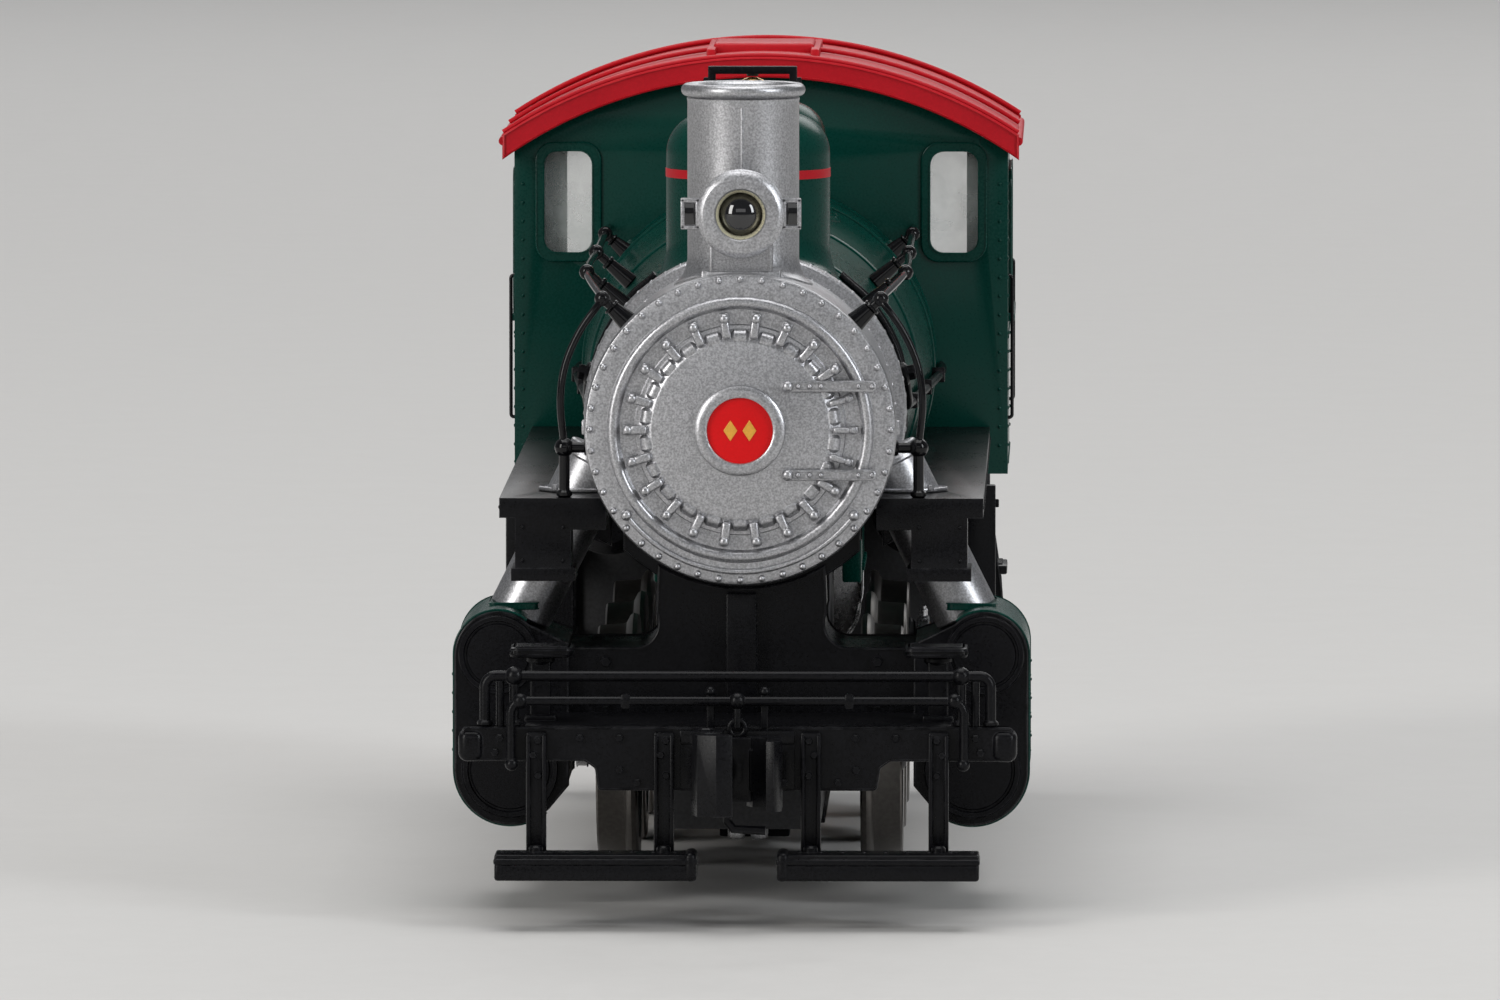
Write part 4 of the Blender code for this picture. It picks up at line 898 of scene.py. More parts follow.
def skirt_places(y, radius, count):
    """Places on the boiler's surface round the foot of a dome."""
    places = []
    for dx, dy in ring_of((0, 0), radius, count, 9.0):
        height = boiler_top(dx, y + dy)
        places.append(placed((dx, y + dy, height + 0.14), (dx * 0.6, 0, height - AXIS_Z)))
    return places


def make_safety_valves():
    """Two brass valves and a whistle on the steam dome."""
    y, top = middle("steam_dome").y, extent("steam_dome")[1].z
    shells = []
    for x in (-1.1, 1.1):
        profile = [(0, 0.6), (0.2, 0.58), (0.3, 0.45), (0.52, 0.4), (0.52, 0.1)]
        profile += [(0.66, 0.05), (0.66, -0.3), (0, -0.3)]
        shells.append(turned(profile, Matrix.Translation((x, y, top)), SMALL_ROUND))
    whistle = [(0, 0.85), (0.16, 0.8), (0.3, 0.65), (0.3, 0.3), (0.2, 0.25), (0.2, 0.1)]
    whistle += [(0.42, 0.05), (0.42, -0.3), (0, -0.3)]
    shells.append(turned(whistle, Matrix.Translation((0.0, y + 1.7, top - 0.15)), SMALL_ROUND))
    piece("safety_valves", shells, "brass")


# ---------------------------------------------------------------- boiler, bell, handrails


def make_boiler():
    front, rear = -BOILER_LOW.y, -BOILER_HIGH.y
    wall = 0.8
    outer = [
        (BOILER_FRONT_RADIUS, front),
        (BOILER_FRONT_RADIUS, -TAPER_FRONT),
        (BOILER_REAR_RADIUS, -TAPER_REAR),
        (BOILER_REAR_RADIUS, rear),
    ]
    profile = outer + [(radius - wall, height) for radius, height in reversed(outer)]
    shells = [turned(profile, BARREL, 160, closed=True)]
    for y in (-front + 1.6, TAPER_FRONT, (TAPER_FRONT + TAPER_REAR) / 2, TAPER_REAR, -rear - 0.9):
        shells.append(boiler_band(y))
    for side in SIDES.values():
        low = (side * 5.6, TAPER_REAR - 3.0, BOILER_LOW.z)
        shells.append(block(low, (side * 6.9, BOILER_HIGH.y - 0.1, AXIS_Z - 8.6), 0.15))
        for y in np.linspace(TAPER_REAR - 1.8, BOILER_HIGH.y - 1.2, 5):
            spot = outward(side, 6.9, y, BOILER_LOW.z + 1.0)
            shells.append(bolt(0.3, 0.2, spot))
    piece("boiler_jacket", shells, "green", stands_for=["boiler_shell"])
    piece("boiler_fittings", boiler_fittings(), "black")
    piece("washout_plugs", washout_plugs(), "green")


def boiler_band(y):
    """A clamping band round the boiler, with its bolted joint underneath."""
    radius = boiler_radius(y)
    slope = boiler_radius(y + 0.45) - boiler_radius(y - 0.45)
    half = slope / 2
    profile = [
        (radius - 0.1 - half, 0.45 - y),
        (radius + 0.1 - half, 0.45 - y),
        (radius + 0.15 - half, 0.38 - y),
        (radius + 0.15 + half, -0.38 - y),
        (radius + 0.1 + half, -0.45 - y),
        (radius - 0.1 + half, -0.45 - y),
    ]
    return turned(profile, BARREL, 160, closed=True)


def washout_plugs():
    plug = hexagon_bolt(0.34, 0.34)
    seat = rod((0, 0, -0.2), (0, 0, 0.12), 0.55, 0.04, 20)
    shape = merged([plug, seat])
    places = []
    for y in (TAPER_REAR + 2.4, TAPER_REAR + 5.6):
        for angle in (48.0, -48.0):
            places += around_barrel(1, y, boiler_radius(y), angle)
    return [copies(shape, places)]


def hugging(points, out):
    """A path over the boiler's surface: each point is (y, degrees from the top)."""
    path = []
    for y, degrees in points:
        reach = boiler_radius(y) + out
        x, z = polar(reach, degrees)
        path.append((x, y, AXIS_Z + z))
    return path


def boiler_fittings():
    """Sand pipes down from the dome, feed pipes with their check valves, and the wiring conduit."""
    dome_y = middle("sand_dome").y
    shells = []
    for side in SIDES.values():
        for reach in (-1.6, 1.6):
            path = [(dome_y + reach * 0.6, side * 36), (dome_y + reach, side * 52)]
            path += [(dome_y + reach * 1.6, side * 74), (dome_y + reach * 1.9, side * 100)]
            shells.append(tube(flowing(hugging(path, 0.3)), 0.22, 12))
        check_y = dome_y - 4.2
        shells += check_valve(check_y, side * 78.0)
        feed = [(check_y + 0.4, side * 78), (check_y + 3.0, side * 88), (check_y + 9.0, side * 92)]
        feed += [(TAPER_REAR, side * 92), (BOILER_HIGH.y - 0.5, side * 92)]
        shells.append(tube(flowing(hugging(feed, 0.45)), 0.3, 12))
        for y in (TAPER_FRONT + 2.0, -6.0, TAPER_REAR - 1.0):
            x, z = polar(boiler_radius(y) + 0.4, side * 92)
            low = (x - 0.45, y - 0.3, AXIS_Z + z - 0.5)
            shells.append(block(low, (x + 0.45, y + 0.3, AXIS_Z + z + 0.5), 0.1))
    return shells


def check_valve(y, degrees):
    """The valve where a feed pipe enters the boiler."""
    x, z = polar(1.0, degrees)
    out = Vector((x, 0.0, z))
    foot = Vector((0.0, y, AXIS_Z)) + out * (boiler_radius(y) - 0.2)
    body = rod(foot, foot + out * 0.9, 0.75, 0.15, 20)
    cap = bolt(0.55, 0.5, placed(foot + out * 0.9, out))
    tail = rod(foot + out * 0.6, foot + out * 0.6 + Vector((0, 1.4, 0)), 0.42, 0.1, 20)
    return [body, cap, tail]


def make_bell():
    high = extent("bell")[1]
    y, top = middle("bell").y, high.z
    mouth = high.y - y
    profile = [(0.0, 0.0), (0.35, -0.04), (0.7, -0.18), (1.0, -0.5), (1.15, -1.0), (1.22, -2.0)]
    profile += [(1.34, -3.0), (1.6, -3.8), (mouth - 0.12, -4.45), (mouth, -4.6), (mouth - 0.12, -4.68)]
    profile += [(1.75, -4.55), (1.3, -3.6), (1.0, -2.6), (0.6, -2.0), (0.0, -1.9)]
    placing = Matrix.Translation((0, y, top))
    clapper = [rod((0, y, top - 4.6), (0, y, top - 2.0), 0.13, 0.05, 12), ball((0, y, top - 4.5), 0.4, 20)]
    bead = turned([(1.3, -2.5), (1.45, -2.55), (1.45, -2.75), (1.3, -2.8)], placing, 48, closed=True)
    piece("bell_body", [turned(profile, placing, 64), bead, *clapper], "brass", stands_for=["bell"])

    bracket_high = extent("bell_bracket")[1]
    shells = [refined("bell_bracket", 0.16, 3)]
    for side in SIDES.values():
        spot = outward(side, bracket_high.x - 0.05, y, top - 0.4)
        shells.append(bolt(0.42, 0.25, spot))
        foot = (side * (bracket_high.x - 0.5), y, boiler_top(bracket_high.x, y) + 0.35)
        for dy in (-0.65, 0.65):
            shells.append(bolt(0.2, 0.45, Matrix.Translation((foot[0], y + dy, foot[2]))))
    piece("bell_yoke", shells, "black", stands_for=["bell_bracket"])


RAIL_X = 10.2
RAIL_LEVEL = 38.8
RAIL_POSTS = (-34.5, -12.5, 9.0)
RAIL_RADIUS = 0.23


def post_foot(post):
    """Where a handrail post meets the boiler, on the line from its axis."""
    reach = math.hypot(post.x, post.z - AXIS_Z)
    share = (boiler_radius(post.y) + 0.02) / reach
    return Vector((post.x * share, post.y, AXIS_Z + (post.z - AXIS_Z) * share))


def stanchion(post, stout=1.0):
    """A turned post with a ring that the rail passes through."""
    foot = post_foot(post)
    mid = foot.lerp(post, 0.62)
    shells = [rod(foot, mid, 0.5 * stout, 0.08, 24, 0.36 * stout)]
    shells.append(rod(mid, post, 0.3, 0.05, 16))
    shells.append(rod(mid, foot.lerp(post, 0.7), 0.42 * stout, 0.06, 20))
    shells.append(ball(post, 0.5, 24))
    for dy in (-0.42, 0.3):
        start = post + Vector((0, dy, 0))
        shells.append(rod(start, start + Vector((0, 0.12, 0)), 0.42, 0.04, 20))
    return shells


def make_handrails():
    board_top = extent("running_board_left")[1].z
    for name, side in SIDES.items():
        low, high = extent(f"handrail_{name}")
        front, rear = low.y + 0.62, high.y
        knob_x, knob_z = 11.2, AXIS_Z - 1.4
        bow = [(11.2, board_top + 0.1), (knob_x, knob_z - 1.0), (knob_x, knob_z), (11.45, AXIS_Z + 1.4)]
        bow += [(11.15, AXIS_Z + 3.8), (10.2, AXIS_Z + 6.0)]
        path = [(side * x, front, z) for x, z in bow]
        first = Vector((side * 8.8, front + 0.5, AXIS_Z + 8.0))
        posts = [Vector((side * RAIL_X, y, RAIL_LEVEL)) for y in RAIL_POSTS]
        path += [first, first.lerp(posts[0], 0.15), *posts, (side * RAIL_X, rear, RAIL_LEVEL)]
        shells = [tube(flowing(path), RAIL_RADIUS, 16)]
        shells += stanchion(first, 1.35)
        for post in posts:
            shells += stanchion(post, 1.15)
        knob = (side * knob_x, front, knob_z)
        wall = math.sqrt(SMOKEBOX_RADIUS**2 - (knob_z - AXIS_Z) ** 2) - 0.1
        stub = (side * wall, front, knob_z)
        shells += [ball(knob, 0.62, 28), rod(stub, knob, 0.34, 0.05, 20)]
        shells.append(rod(stub, (side * (wall + 0.55), front, knob_z), 0.52, 0.1, 20))
        foot = (side * knob_x, front)
        shells.append(rod((*foot, board_top), (*foot, board_top + 0.45), 0.5, 0.12, 20))
        shells.append(rod((*foot, board_top + 0.3), knob, 0.34, 0.05, 20))
        piece(f"handrail_{name}_wire", shells, "gloss_black", stands_for=[f"handrail_{name}"])


# ---------------------------------------------------------------- running boards, cylinders


def make_running_boards():
    for name, side in SIDES.items():
        low, high = extent(f"running_board_{name}")
        outer = max(abs(low.x), abs(high.x))
        top = high.z
        shells = [refined(f"running_board_{name}", 0.13, 3)]
        head = rivet(0.13, 0.09)
        spots = [outward(side, outer, y, top - 0.63) for y in np.arange(low.y + 1.0, high.y - 0.5, 2.1)]
        shells.append(copies(head, spots))
        for y in (-31.0, -12.0, 6.0):
            shells += board_bracket(side, y, top - 1.3, outer)
        piece(f"board_{name}", shells, "black", stands_for=[f"running_board_{name}"])
        face = low.y - 0.02
        spots = [forward(side * x, face, z) for x in (11.25, 13.85) for z in (21.5, 23.6)]
        piece(f"board_box_rivets_{name}", [copies(rivet(0.12, 0.08), spots)], "black")


def board_bracket(side, y, top, outer):
    """A triangular bracket under a running board."""
    inner = boiler_radius(y) - 1.2
    outline = [(inner, top + 0.1), (outer - 0.6, top + 0.1), (outer - 0.9, top - 0.5), (inner, top - 3.2)]
    return [facing_plate(mirrored(outline, side), (y - 0.3, y + 0.3), 0.1)]


PIPE_TOP = (9.0, 28.0)
PIPE_FOOT = (14.2, 17.6)
PIPE_RADIUS = 2.05


def make_steam_pipes():
    board_top = extent("running_board_left")[1].z
    for name, side in SIDES.items():
        y = middle(f"steam_pipe_{name}").y
        top, foot = [Vector((side * x, y, z)) for x, z in (PIPE_TOP, PIPE_FOOT)]
        along = (foot - top).normalized()
        shells = [rod(top, foot, PIPE_RADIUS, 0.1, 72)]
        start = top + along * 0.5
        shells.append(rod(start, start + along * 0.5, PIPE_RADIUS + 0.22, 0.14, 72))
        crossing = top + along * ((top.z - board_top) / -along.z)
        turn = np.linspace(0, math.tau, 48, False)
        oval = [(crossing.x + 2.75 * math.cos(a), y + 2.4 * math.sin(a)) for a in turn]
        shells.append(level_plate(oval, (board_top + 0.02, board_top + 0.3), 0.1))
        for dx, dy in ((-1.5, -2.0), (1.5, -2.0), (-1.5, 2.0), (1.5, 2.0)):
            spot = Matrix.Translation((crossing.x + dx * 1.1, y + dy * 0.95, board_top + 0.28))
            shells.append(bolt(0.22, 0.22, spot))
        piece(f"pipe_{name}", shells, "silver", stands_for=[f"steam_pipe_{name}"])


CYLINDER_RADIUS = 3.65
VALVE_RADIUS = 2.88
JACKET_WALL = 0.4
BLOCK_EDGE = 10.9
CRADLE_INNER = 9.75
CRADLE_OUTER = 10.95
CRADLE_HALF_WIDTH = 7.5
WEB_RADIUS = 10.3


def cylinder_places(side):
    """The centres of the cylinder and of the valve chest above it, as (x, z)."""
    low, high = extent("cylinder_jacket_left")
    valve = (high.x - VALVE_RADIUS, high.z - VALVE_RADIUS)
    barrel = (high.x - CYLINDER_RADIUS, low.z + CYLINDER_RADIUS)
    return (side * barrel[0], barrel[1]), (side * valve[0], valve[1])


def block_outline(side, shrink):
    """The outer end of the cylinder block, closed on the side of the saddle."""
    barrel, valve = cylinder_places(1)
    outline = arc(valve, VALVE_RADIUS - shrink, 135.0, 0.0, 20)
    outline += arc(barrel, CYLINDER_RADIUS - shrink, 0.0, -135.0, 24)
    return mirrored([*outline, (BLOCK_EDGE, 7.2), (BLOCK_EDGE, 16.2)], side)


def jacket_outline(side):
    barrel, valve = cylinder_places(1)
    outer = arc(valve, VALVE_RADIUS, 130.0, 0.0, 24) + arc(barrel, CYLINDER_RADIUS, 0.0, -130.0, 28)
    inner = arc(barrel, CYLINDER_RADIUS - JACKET_WALL, -130.0, 0.0, 28)
    inner += arc(valve, VALVE_RADIUS - JACKET_WALL, 0.0, 130.0, 24)
    return mirrored(outer + inner, side)


def make_cylinders():
    front, rear = extent("cylinder_jacket_left")[0].y - 0.1, extent("cylinder_saddle")[1].y
    web_edge = 5.3
    cradle_top = math.degrees(math.asin(web_edge / WEB_RADIUS))
    bend = [(6.2, 20.0), (web_edge, 17.8), (web_edge, 15.9), (8.4, 15.9)]
    corner = rounded(bend, 1.5, 8, closed=False)[1:-1]
    flank = [(11.1, 11.6), (11.1, 15.9), *reversed(corner)]
    top = arc((0.0, AXIS_Z), WEB_RADIUS, -90.0 + cradle_top, -90.0 - cradle_top, 24)
    web = [*flank, *top, *[(-x, z) for x, z in reversed(flank)]]
    shells = [facing_plate(web, (front + 0.7, rear - 0.8), 0.12)]
    outer_angle = math.degrees(math.asin(CRADLE_HALF_WIDTH / CRADLE_OUTER))
    inner_angle = math.degrees(math.asin(CRADLE_HALF_WIDTH / CRADLE_INNER))
    cradle = arc((0.0, AXIS_Z), CRADLE_OUTER, -90.0 - outer_angle, -90.0 + outer_angle, 40)
    cradle += arc((0.0, AXIS_Z), CRADLE_INNER, -90.0 + inner_angle, -90.0 - inner_angle, 40)
    shells.append(facing_plate(cradle, (front + 1.1, rear - 1.1), 0.1))
    shells.append(block((-0.95, front - 0.1, 11.6), (0.95, front + 1.5, 19.4), 0.12))
    for side in SIDES.values():
        shells.append(facing_plate(block_outline(side, JACKET_WALL + 0.06), (front, rear), 0.1))
        shells.append(facing_plate(block_outline(side, 0.13), (front - 0.25, front + 0.02), 0.1))
        shells += cylinder_covers(side, front, -1)
        shells += cylinder_covers(side, rear, 1)
        for z in (12.4, 15.0):
            spot = forward(side * 8.6, front + 0.7, z)
            shells.append(bolt(0.35, 0.3, spot))
    piece("saddle_casting", shells, "black", stands_for=["cylinder_saddle"])
    for name, side in SIDES.items():
        make_jacket(name, side)


def cylinder_covers(side, y, facing):
    """The stepped covers on one end of a cylinder and its valve chest."""
    shells = []
    barrel, valve = cylinder_places(side)
    for (x, z), radius, bolts in ((barrel, CYLINDER_RADIUS - 0.6, 10), (valve, VALVE_RADIUS - 0.36, 0)):
        placing = placed((x, y + 0.2 * min(facing, 0), z), (0, facing, 0))
        profile = [(0, 0.22), (radius - 0.6, 0.22), (radius - 0.52, 0.12), (radius - 0.42, 0.12)]
        profile += [(radius - 0.34, 0.34), (radius - 0.08, 0.36), (radius, 0.22)]
        profile += [(radius, -0.2), (0, -0.2)]
        shells.append(turned(profile, placing, 72))
        if bolts and facing > 0:
            circle = ring_of((0, 0), radius - 0.2, bolts)
            spots = [placing @ Matrix.Translation((dx, dz, 0.3)) for dx, dz in circle]
            shells.append(copies(hexagon_bolt(0.2, 0.2), spots))
    if facing > 0:
        rod_x = middle("crosshead_guide_left").x * side
        gland = rod((rod_x, y, barrel[1]), (rod_x, y + 1.0, barrel[1]), 1.15, 0.12, 28)
        shells.append(gland)
    return shells


def make_jacket(name, side):
    low, high = extent(f"cylinder_jacket_{name}")
    shells = [facing_plate(jacket_outline(side), (low.y, high.y), 0.06)]
    top = high.z
    pad = rounded(rectangle((12.9, 16.2), (-46.7, -41.3)), 0.5)
    shells.append(level_plate(mirrored(pad, side), (top - 0.35, top + 0.12), 0.08))
    edge = max(abs(low.x), abs(high.x))
    head = rivet(0.11, 0.07)
    for y in (low.y + 0.6, high.y - 0.6):
        spots = [outward(side, edge, y, z) for z in np.arange(9.4, 15.4, 1.2)]
        shells.append(copies(head, spots))
    piece(f"jacket_{name}", shells, "green", stands_for=[f"cylinder_jacket_{name}"])


# ---------------------------------------------------------------- pilot, footboards, rails


BEAM_TOP = 11.9
STEP_PAD = (12.5, -57.0)
PLANK_BACK = -62.4


def make_pilot():
    low, high = extent("pilot")
    front = low.y
    top = BEAM_TOP
    deck = top - 1.0
    cutup = [(17.3, top), (17.3, 9.75), (9.6, 9.75), (8.95, 9.3), (8.75, 7.9)]
    half = rounded([(0.0, top), *cutup, (0.0, 7.9)], 0.3, 4)[1:-1]
    right = [(-x, z) for x, z in reversed(half)]
    keep = [point for point in half if point[0] > 0.5]
    keep_right = [point for point in right if point[0] < -0.5]
    shells = [facing_plate([*keep, *keep_right], (front, front + 1.2), 0.12)]
    shells.append(block((-13.4, front + 1.0, deck), (13.4, high.y, top), 0.12))
    for side in SIDES.values():
        depth = (front - 0.15, front + 2.4)
        shells.append(side_block(side, (15.9, high.x), depth, (9.7, top - 0.2), 0.55, 6))
        shells.append(side_block(side, (11.85, 13.15), (-57.65, -56.35), (deck + 0.3, 16.0), 0.15, 3))
        shells.append(side_block(side, (11.5, 13.5), (-58.0, -56.0), (top - 0.1, top + 0.35), 0.15, 3))
        pad = rounded(rectangle((10.4, 14.4), (-59.2, -55.0)), 0.6)
        shells.append(level_plate(mirrored(pad, side), (high.z - 0.65, high.z), 0.2))
        lip = inset(pad, 0.35).tolist()
        shells.append(level_plate(mirrored(lip, side), (high.z - 0.1, high.z + 0.06), 0.05))
        pad_foot = (side * STEP_PAD[0], STEP_PAD[1])
        shells.append(rod((*pad_foot, high.z - 1.2), (*pad_foot, high.z - 0.6), 0.9, 0.2, 24))
        shells.append(side_block(side, (1.45, 1.95), (front - 0.05, front + 0.5), (top - 0.5, 14.1), 0.12))
        shells.append(ball((side * 1.7, front + 0.2, 14.1), 0.36, 18))
        shells += beam_bolts(side, front)
    shells.append(block((-3.6, front - 0.12, top - 1.0), (3.6, front + 0.4, top - 0.2), 0.1))
    piece("pilot_beam", shells, "black", stands_for=["pilot"])


def beam_bolts(side, front):
    """Bolt heads over the face of the pilot beam."""
    spots = [(7.4, 11.2), (7.4, 9.2), (9.9, 11.2), (14.9, 11.2), (15.2, 10.3), (2.9, 8.4), (6.3, 8.4)]
    return [copies(hexagon_bolt(0.26, 0.2), [forward(side * x, front, z) for x, z in spots])]


def make_footboards():
    for name, side in SIDES.items():
        low, high = extent(f"footboard_{name}")
        inner, outer = sorted((abs(low.x), abs(high.x)))
        beam = extent("pilot")[0].y
        groove = low.z + 1.0
        top = low.z + 1.65
        wide = (inner, outer)
        shells = [side_block(side, wide, (low.y + 0.12, PLANK_BACK), (low.z, groove + 0.1), 0.2, 3)]
        tread = (inner - 0.05, outer + 0.05)
        shells.append(side_block(side, tread, (low.y, -62.3), (groove, groove + 0.4), 0.14, 3))
        shells.append(side_block(side, wide, (low.y + 0.14, PLANK_BACK), (groove + 0.3, top), 0.14, 3))
        low_end = (side * inner, low.y - 0.02, low.z - 0.02)
        shells.append(block(low_end, (side * (inner + 0.75), -62.25, top + 0.15), 0.34, 5))
        for x in (4.6, 12.6):
            shells += hanger(side, x, beam)
        for x in np.arange(3.9, 14.8, 1.35):
            shells.append(moved(rivet(0.14, 0.1), placed((side * x, -64.0, top), (0, 0, 1))))
        piece(f"footboard_{name}_planks", shells, "black", stands_for=[f"footboard_{name}"])


def hanger(side, x, beam):
    """A flanged strap from the beam down to a footboard, with its bolts."""
    front, back = beam - 0.75, beam - 0.06
    shells = [side_block(side, (x - 0.62, x + 0.62), (front + 0.3, back), (4.0, 11.6), 0.12, 2)]
    for dx in (-0.5, 0.5):
        shells.append(side_block(side, (x + dx - 0.13, x + dx + 0.13), (front, back), (4.0, 11.45), 0.1, 2))
    heads = ((-0.12, 11.1), (0.2, 10.2), (-0.12, 8.9))
    spots = [forward(side * (x + dx), front + 0.25, z) for dx, z in heads]
    shells.append(copies(hexagon_bolt(0.25, 0.3), spots))
    foot = rod((side * x, beam - 1.1, 3.9), (side * x, beam - 1.1, 4.55), 0.45, 0.12, 20)
    return [*shells, foot]


def make_grab_rail():
    low, high = extent("grab_rail")
    beam_top = BEAM_TOP
    y = (low.y + high.y) / 2
    radius = 0.34
    level = high.z - 0.6
    reach = high.x - radius
    path = [(-reach, y, beam_top), (-reach, y, level), (reach, y, level), (reach, y, beam_top)]
    shells = [tube(rounded(path, 0.7, 8, closed=False), radius, 20)]
    for side in SIDES.values():
        x = side * 14.0
        shells += [ball((x, y, level), 0.6, 24), rod((x, y, beam_top), (x, y, level), 0.3, 0.05, 20)]
        shells.append(rod((x, y, beam_top), (x, y, beam_top + 0.4), 0.5, 0.12, 20))
        near = side * (reach - 0.95)
        post = [(near, y + 0.1, beam_top), (near, y + 0.1, level - 0.9), (near, y + 0.1, level - 0.1)]
        shells.append(tube(post, 0.26, 16))
        shells.append(rod((side * reach, y, beam_top), (side * reach, y, beam_top + 0.4), 0.5, 0.12, 20))
    piece("front_grab_rail", shells, "black", stands_for=["grab_rail"])


def make_cut_lever():
    low, high = extent("cut_lever")
    y = min((low.y + high.y) / 2, high.y - 0.45)
    radius = 0.29
    reach, level = high.x - radius, high.z - radius
    path = [(-reach, y, low.z), (-reach, y, level), (reach, y, level), (reach, y, low.z)]
    shells = [tube(rounded(path, 0.8, 8, closed=False), radius, 20)]
    shells.append(rod((0, y, level - 1.7), (0, y, level), 0.26, 0.05, 16))
    link = [(0.5 * math.cos(a), y, level - 1.7 + 0.5 * math.sin(a)) for a in np.linspace(0, math.tau, 25)]
    shells.append(tube(link, 0.2, 12))
    for side in SIDES.values():
        shells.append(ball((side * (reach - 0.05), y, low.z + 0.1), 0.42, 20))
        shells.append(ball((side * (reach - 0.6), y, level), 0.5, 20))
        shells.append(side_block(side, (6.7, 7.3), (y - 0.3, y + 0.3), (level - 0.5, level + 0.45), 0.15))
    shells.append(ball((0, y, level), 0.55, 20))
    piece("uncoupling_lever", shells, "black", stands_for=["cut_lever"])


def make_coupler():
    piece("coupler_pocket", [refined("coupler_box", 0.15, 3)], "black", stands_for=["coupler_box"])
    high = extent("coupler_head")[1]
    shells = [refined("coupler_head", 0.14, 3)]
    shells.append(bolt(0.5, 0.3, Matrix.Translation((-1.9, -66.1, high.z - 0.05))))
    shells.append(rod((1.2, -64.9, 8.0), (1.2, -64.9, 10.8), 0.45, 0.15, 20))
    piece("coupler_casting", shells, "black", "coupler", stands_for=["coupler_head"])
    hook = [refined("coupler_knuckle", 0.2, 3)]
    piece("coupler_hook", hook, "black", "knuckle", stands_for=["coupler_knuckle"])


# ---------------------------------------------------------------- cab


CAB_FRONT_WINDOW = ((11.2, 14.6), (37.0, 44.0))
CAB_SIDE_WINDOW = ((22.0, 34.5), (33.0, 42.0))


def roof_arc(radius, half_width, apex, rise_radius):
    """Points along the roof's curve, from one side to the other."""
    spread = math.degrees(math.asin(half_width / radius))
    centre = (0.0, apex - rise_radius)
    return arc(centre, radius, 90.0 - spread, 90.0 + spread, ROOF_STEPS)


def roof_radius():
    """The roof's outer radius, from its width and the fall of its edges."""
    high = extent("cab_roof")[1]
    corners = [v.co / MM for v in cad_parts["cab_roof"].data.vertices]
    edge = max(corner.z for corner in corners if corner.x > high.x - 0.4)
    fall = high.z - edge
    return (high.x**2 + fall**2) / (2 * fall)


def make_cab():
    low, high = extent("cab")
    shells = [refined("cab", 0.12, 2)]
    piece("cab_body", shells, "green", stands_for=["cab"])
    frames, rivets = [], []
    head = rivet(0.13, 0.09)
    for side in SIDES.values():
        outer = rounded(rectangle(*grown(CAB_FRONT_WINDOW, 0.5)), 1.2, 8)
        inner = rounded(rectangle(*grown(CAB_FRONT_WINDOW, -0.12)), 0.9, 8)
        placing = Matrix.Translation((0, low.y + 0.1, 0)) @ FRONT
        frames.append(frame_plate(mirrored(outer, side), mirrored(inner, side), 0.32, placing))
        outer = rounded(rectangle(*grown(CAB_SIDE_WINDOW, 0.55)), 1.3, 8)
        inner = rounded(rectangle(*grown(CAB_SIDE_WINDOW, -0.15)), 1.0, 8)
        start = side * (high.x - 0.05) if side > 0 else -high.x - 0.25
        placing = Matrix.Translation((start, 0, 0)) @ SIDEWAYS
        frames.append(frame_plate(outer, inner, 0.3, placing))
        along, levels = CAB_SIDE_WINDOW
        ledge = ((high.x - 0.1, high.x + 0.45), (along[0] - 0.8, along[1] + 0.8))
        frames.append(side_block(side, *ledge, (levels[0] - 0.75, levels[0] - 0.2), 0.12))
        middle_y = sum(along) / 2
        post = ((high.x - 0.75, high.x - 0.25), (middle_y - 0.35, middle_y + 0.35))
        frames.append(side_block(side, *post, (levels[0] - 0.1, levels[1] + 0.1), 0.08))
        rivets += cab_rivets(side, low, high, head)
    piece("cab_window_frames", frames, "green")
    piece("cab_rivets", rivets, "green")
    make_cab_grabs(low, high)


def make_cab_grabs(low, high):
    """Upright grab irons at both ends of each side."""
    grabs = []
    for side in SIDES.values():
        for y in (low.y + 1.3, high.y - 1.4):
            x = side * (high.x + 0.28)
            wall = side * (high.x - 0.1)
            path = [(wall, y, 26.0), (x, y, 26.0), (x, y, 35.5), (wall, y, 35.5)]
            grabs.append(tube(rounded(path, 0.2, 5, closed=False), 0.12, 12))
    piece("cab_grab_irons", grabs, "gloss_black")


def grown(window, margin):
    """A window's limits, widened all round."""
    return tuple((pair[0] - margin, pair[1] + margin) for pair in window)


def cab_rivets(side, low, high, head):
    """Rows of rivets round the cab's side panel and up the edge of its front."""
    spots = []
    for y in np.arange(low.y + 1.4, high.y - 0.6, 1.25):
        for z in (low.z + 0.7, 31.4):
            spots.append(outward(side, high.x, y, z))
    for z in np.arange(low.z + 1.9, 42.6, 1.25):
        for y in (low.y + 0.9, high.y - 0.6):
            spots.append(outward(side, high.x, y, z))
        spots.append(forward(side * (high.x - 0.55), low.y, z))
    return [copies(head, spots)]


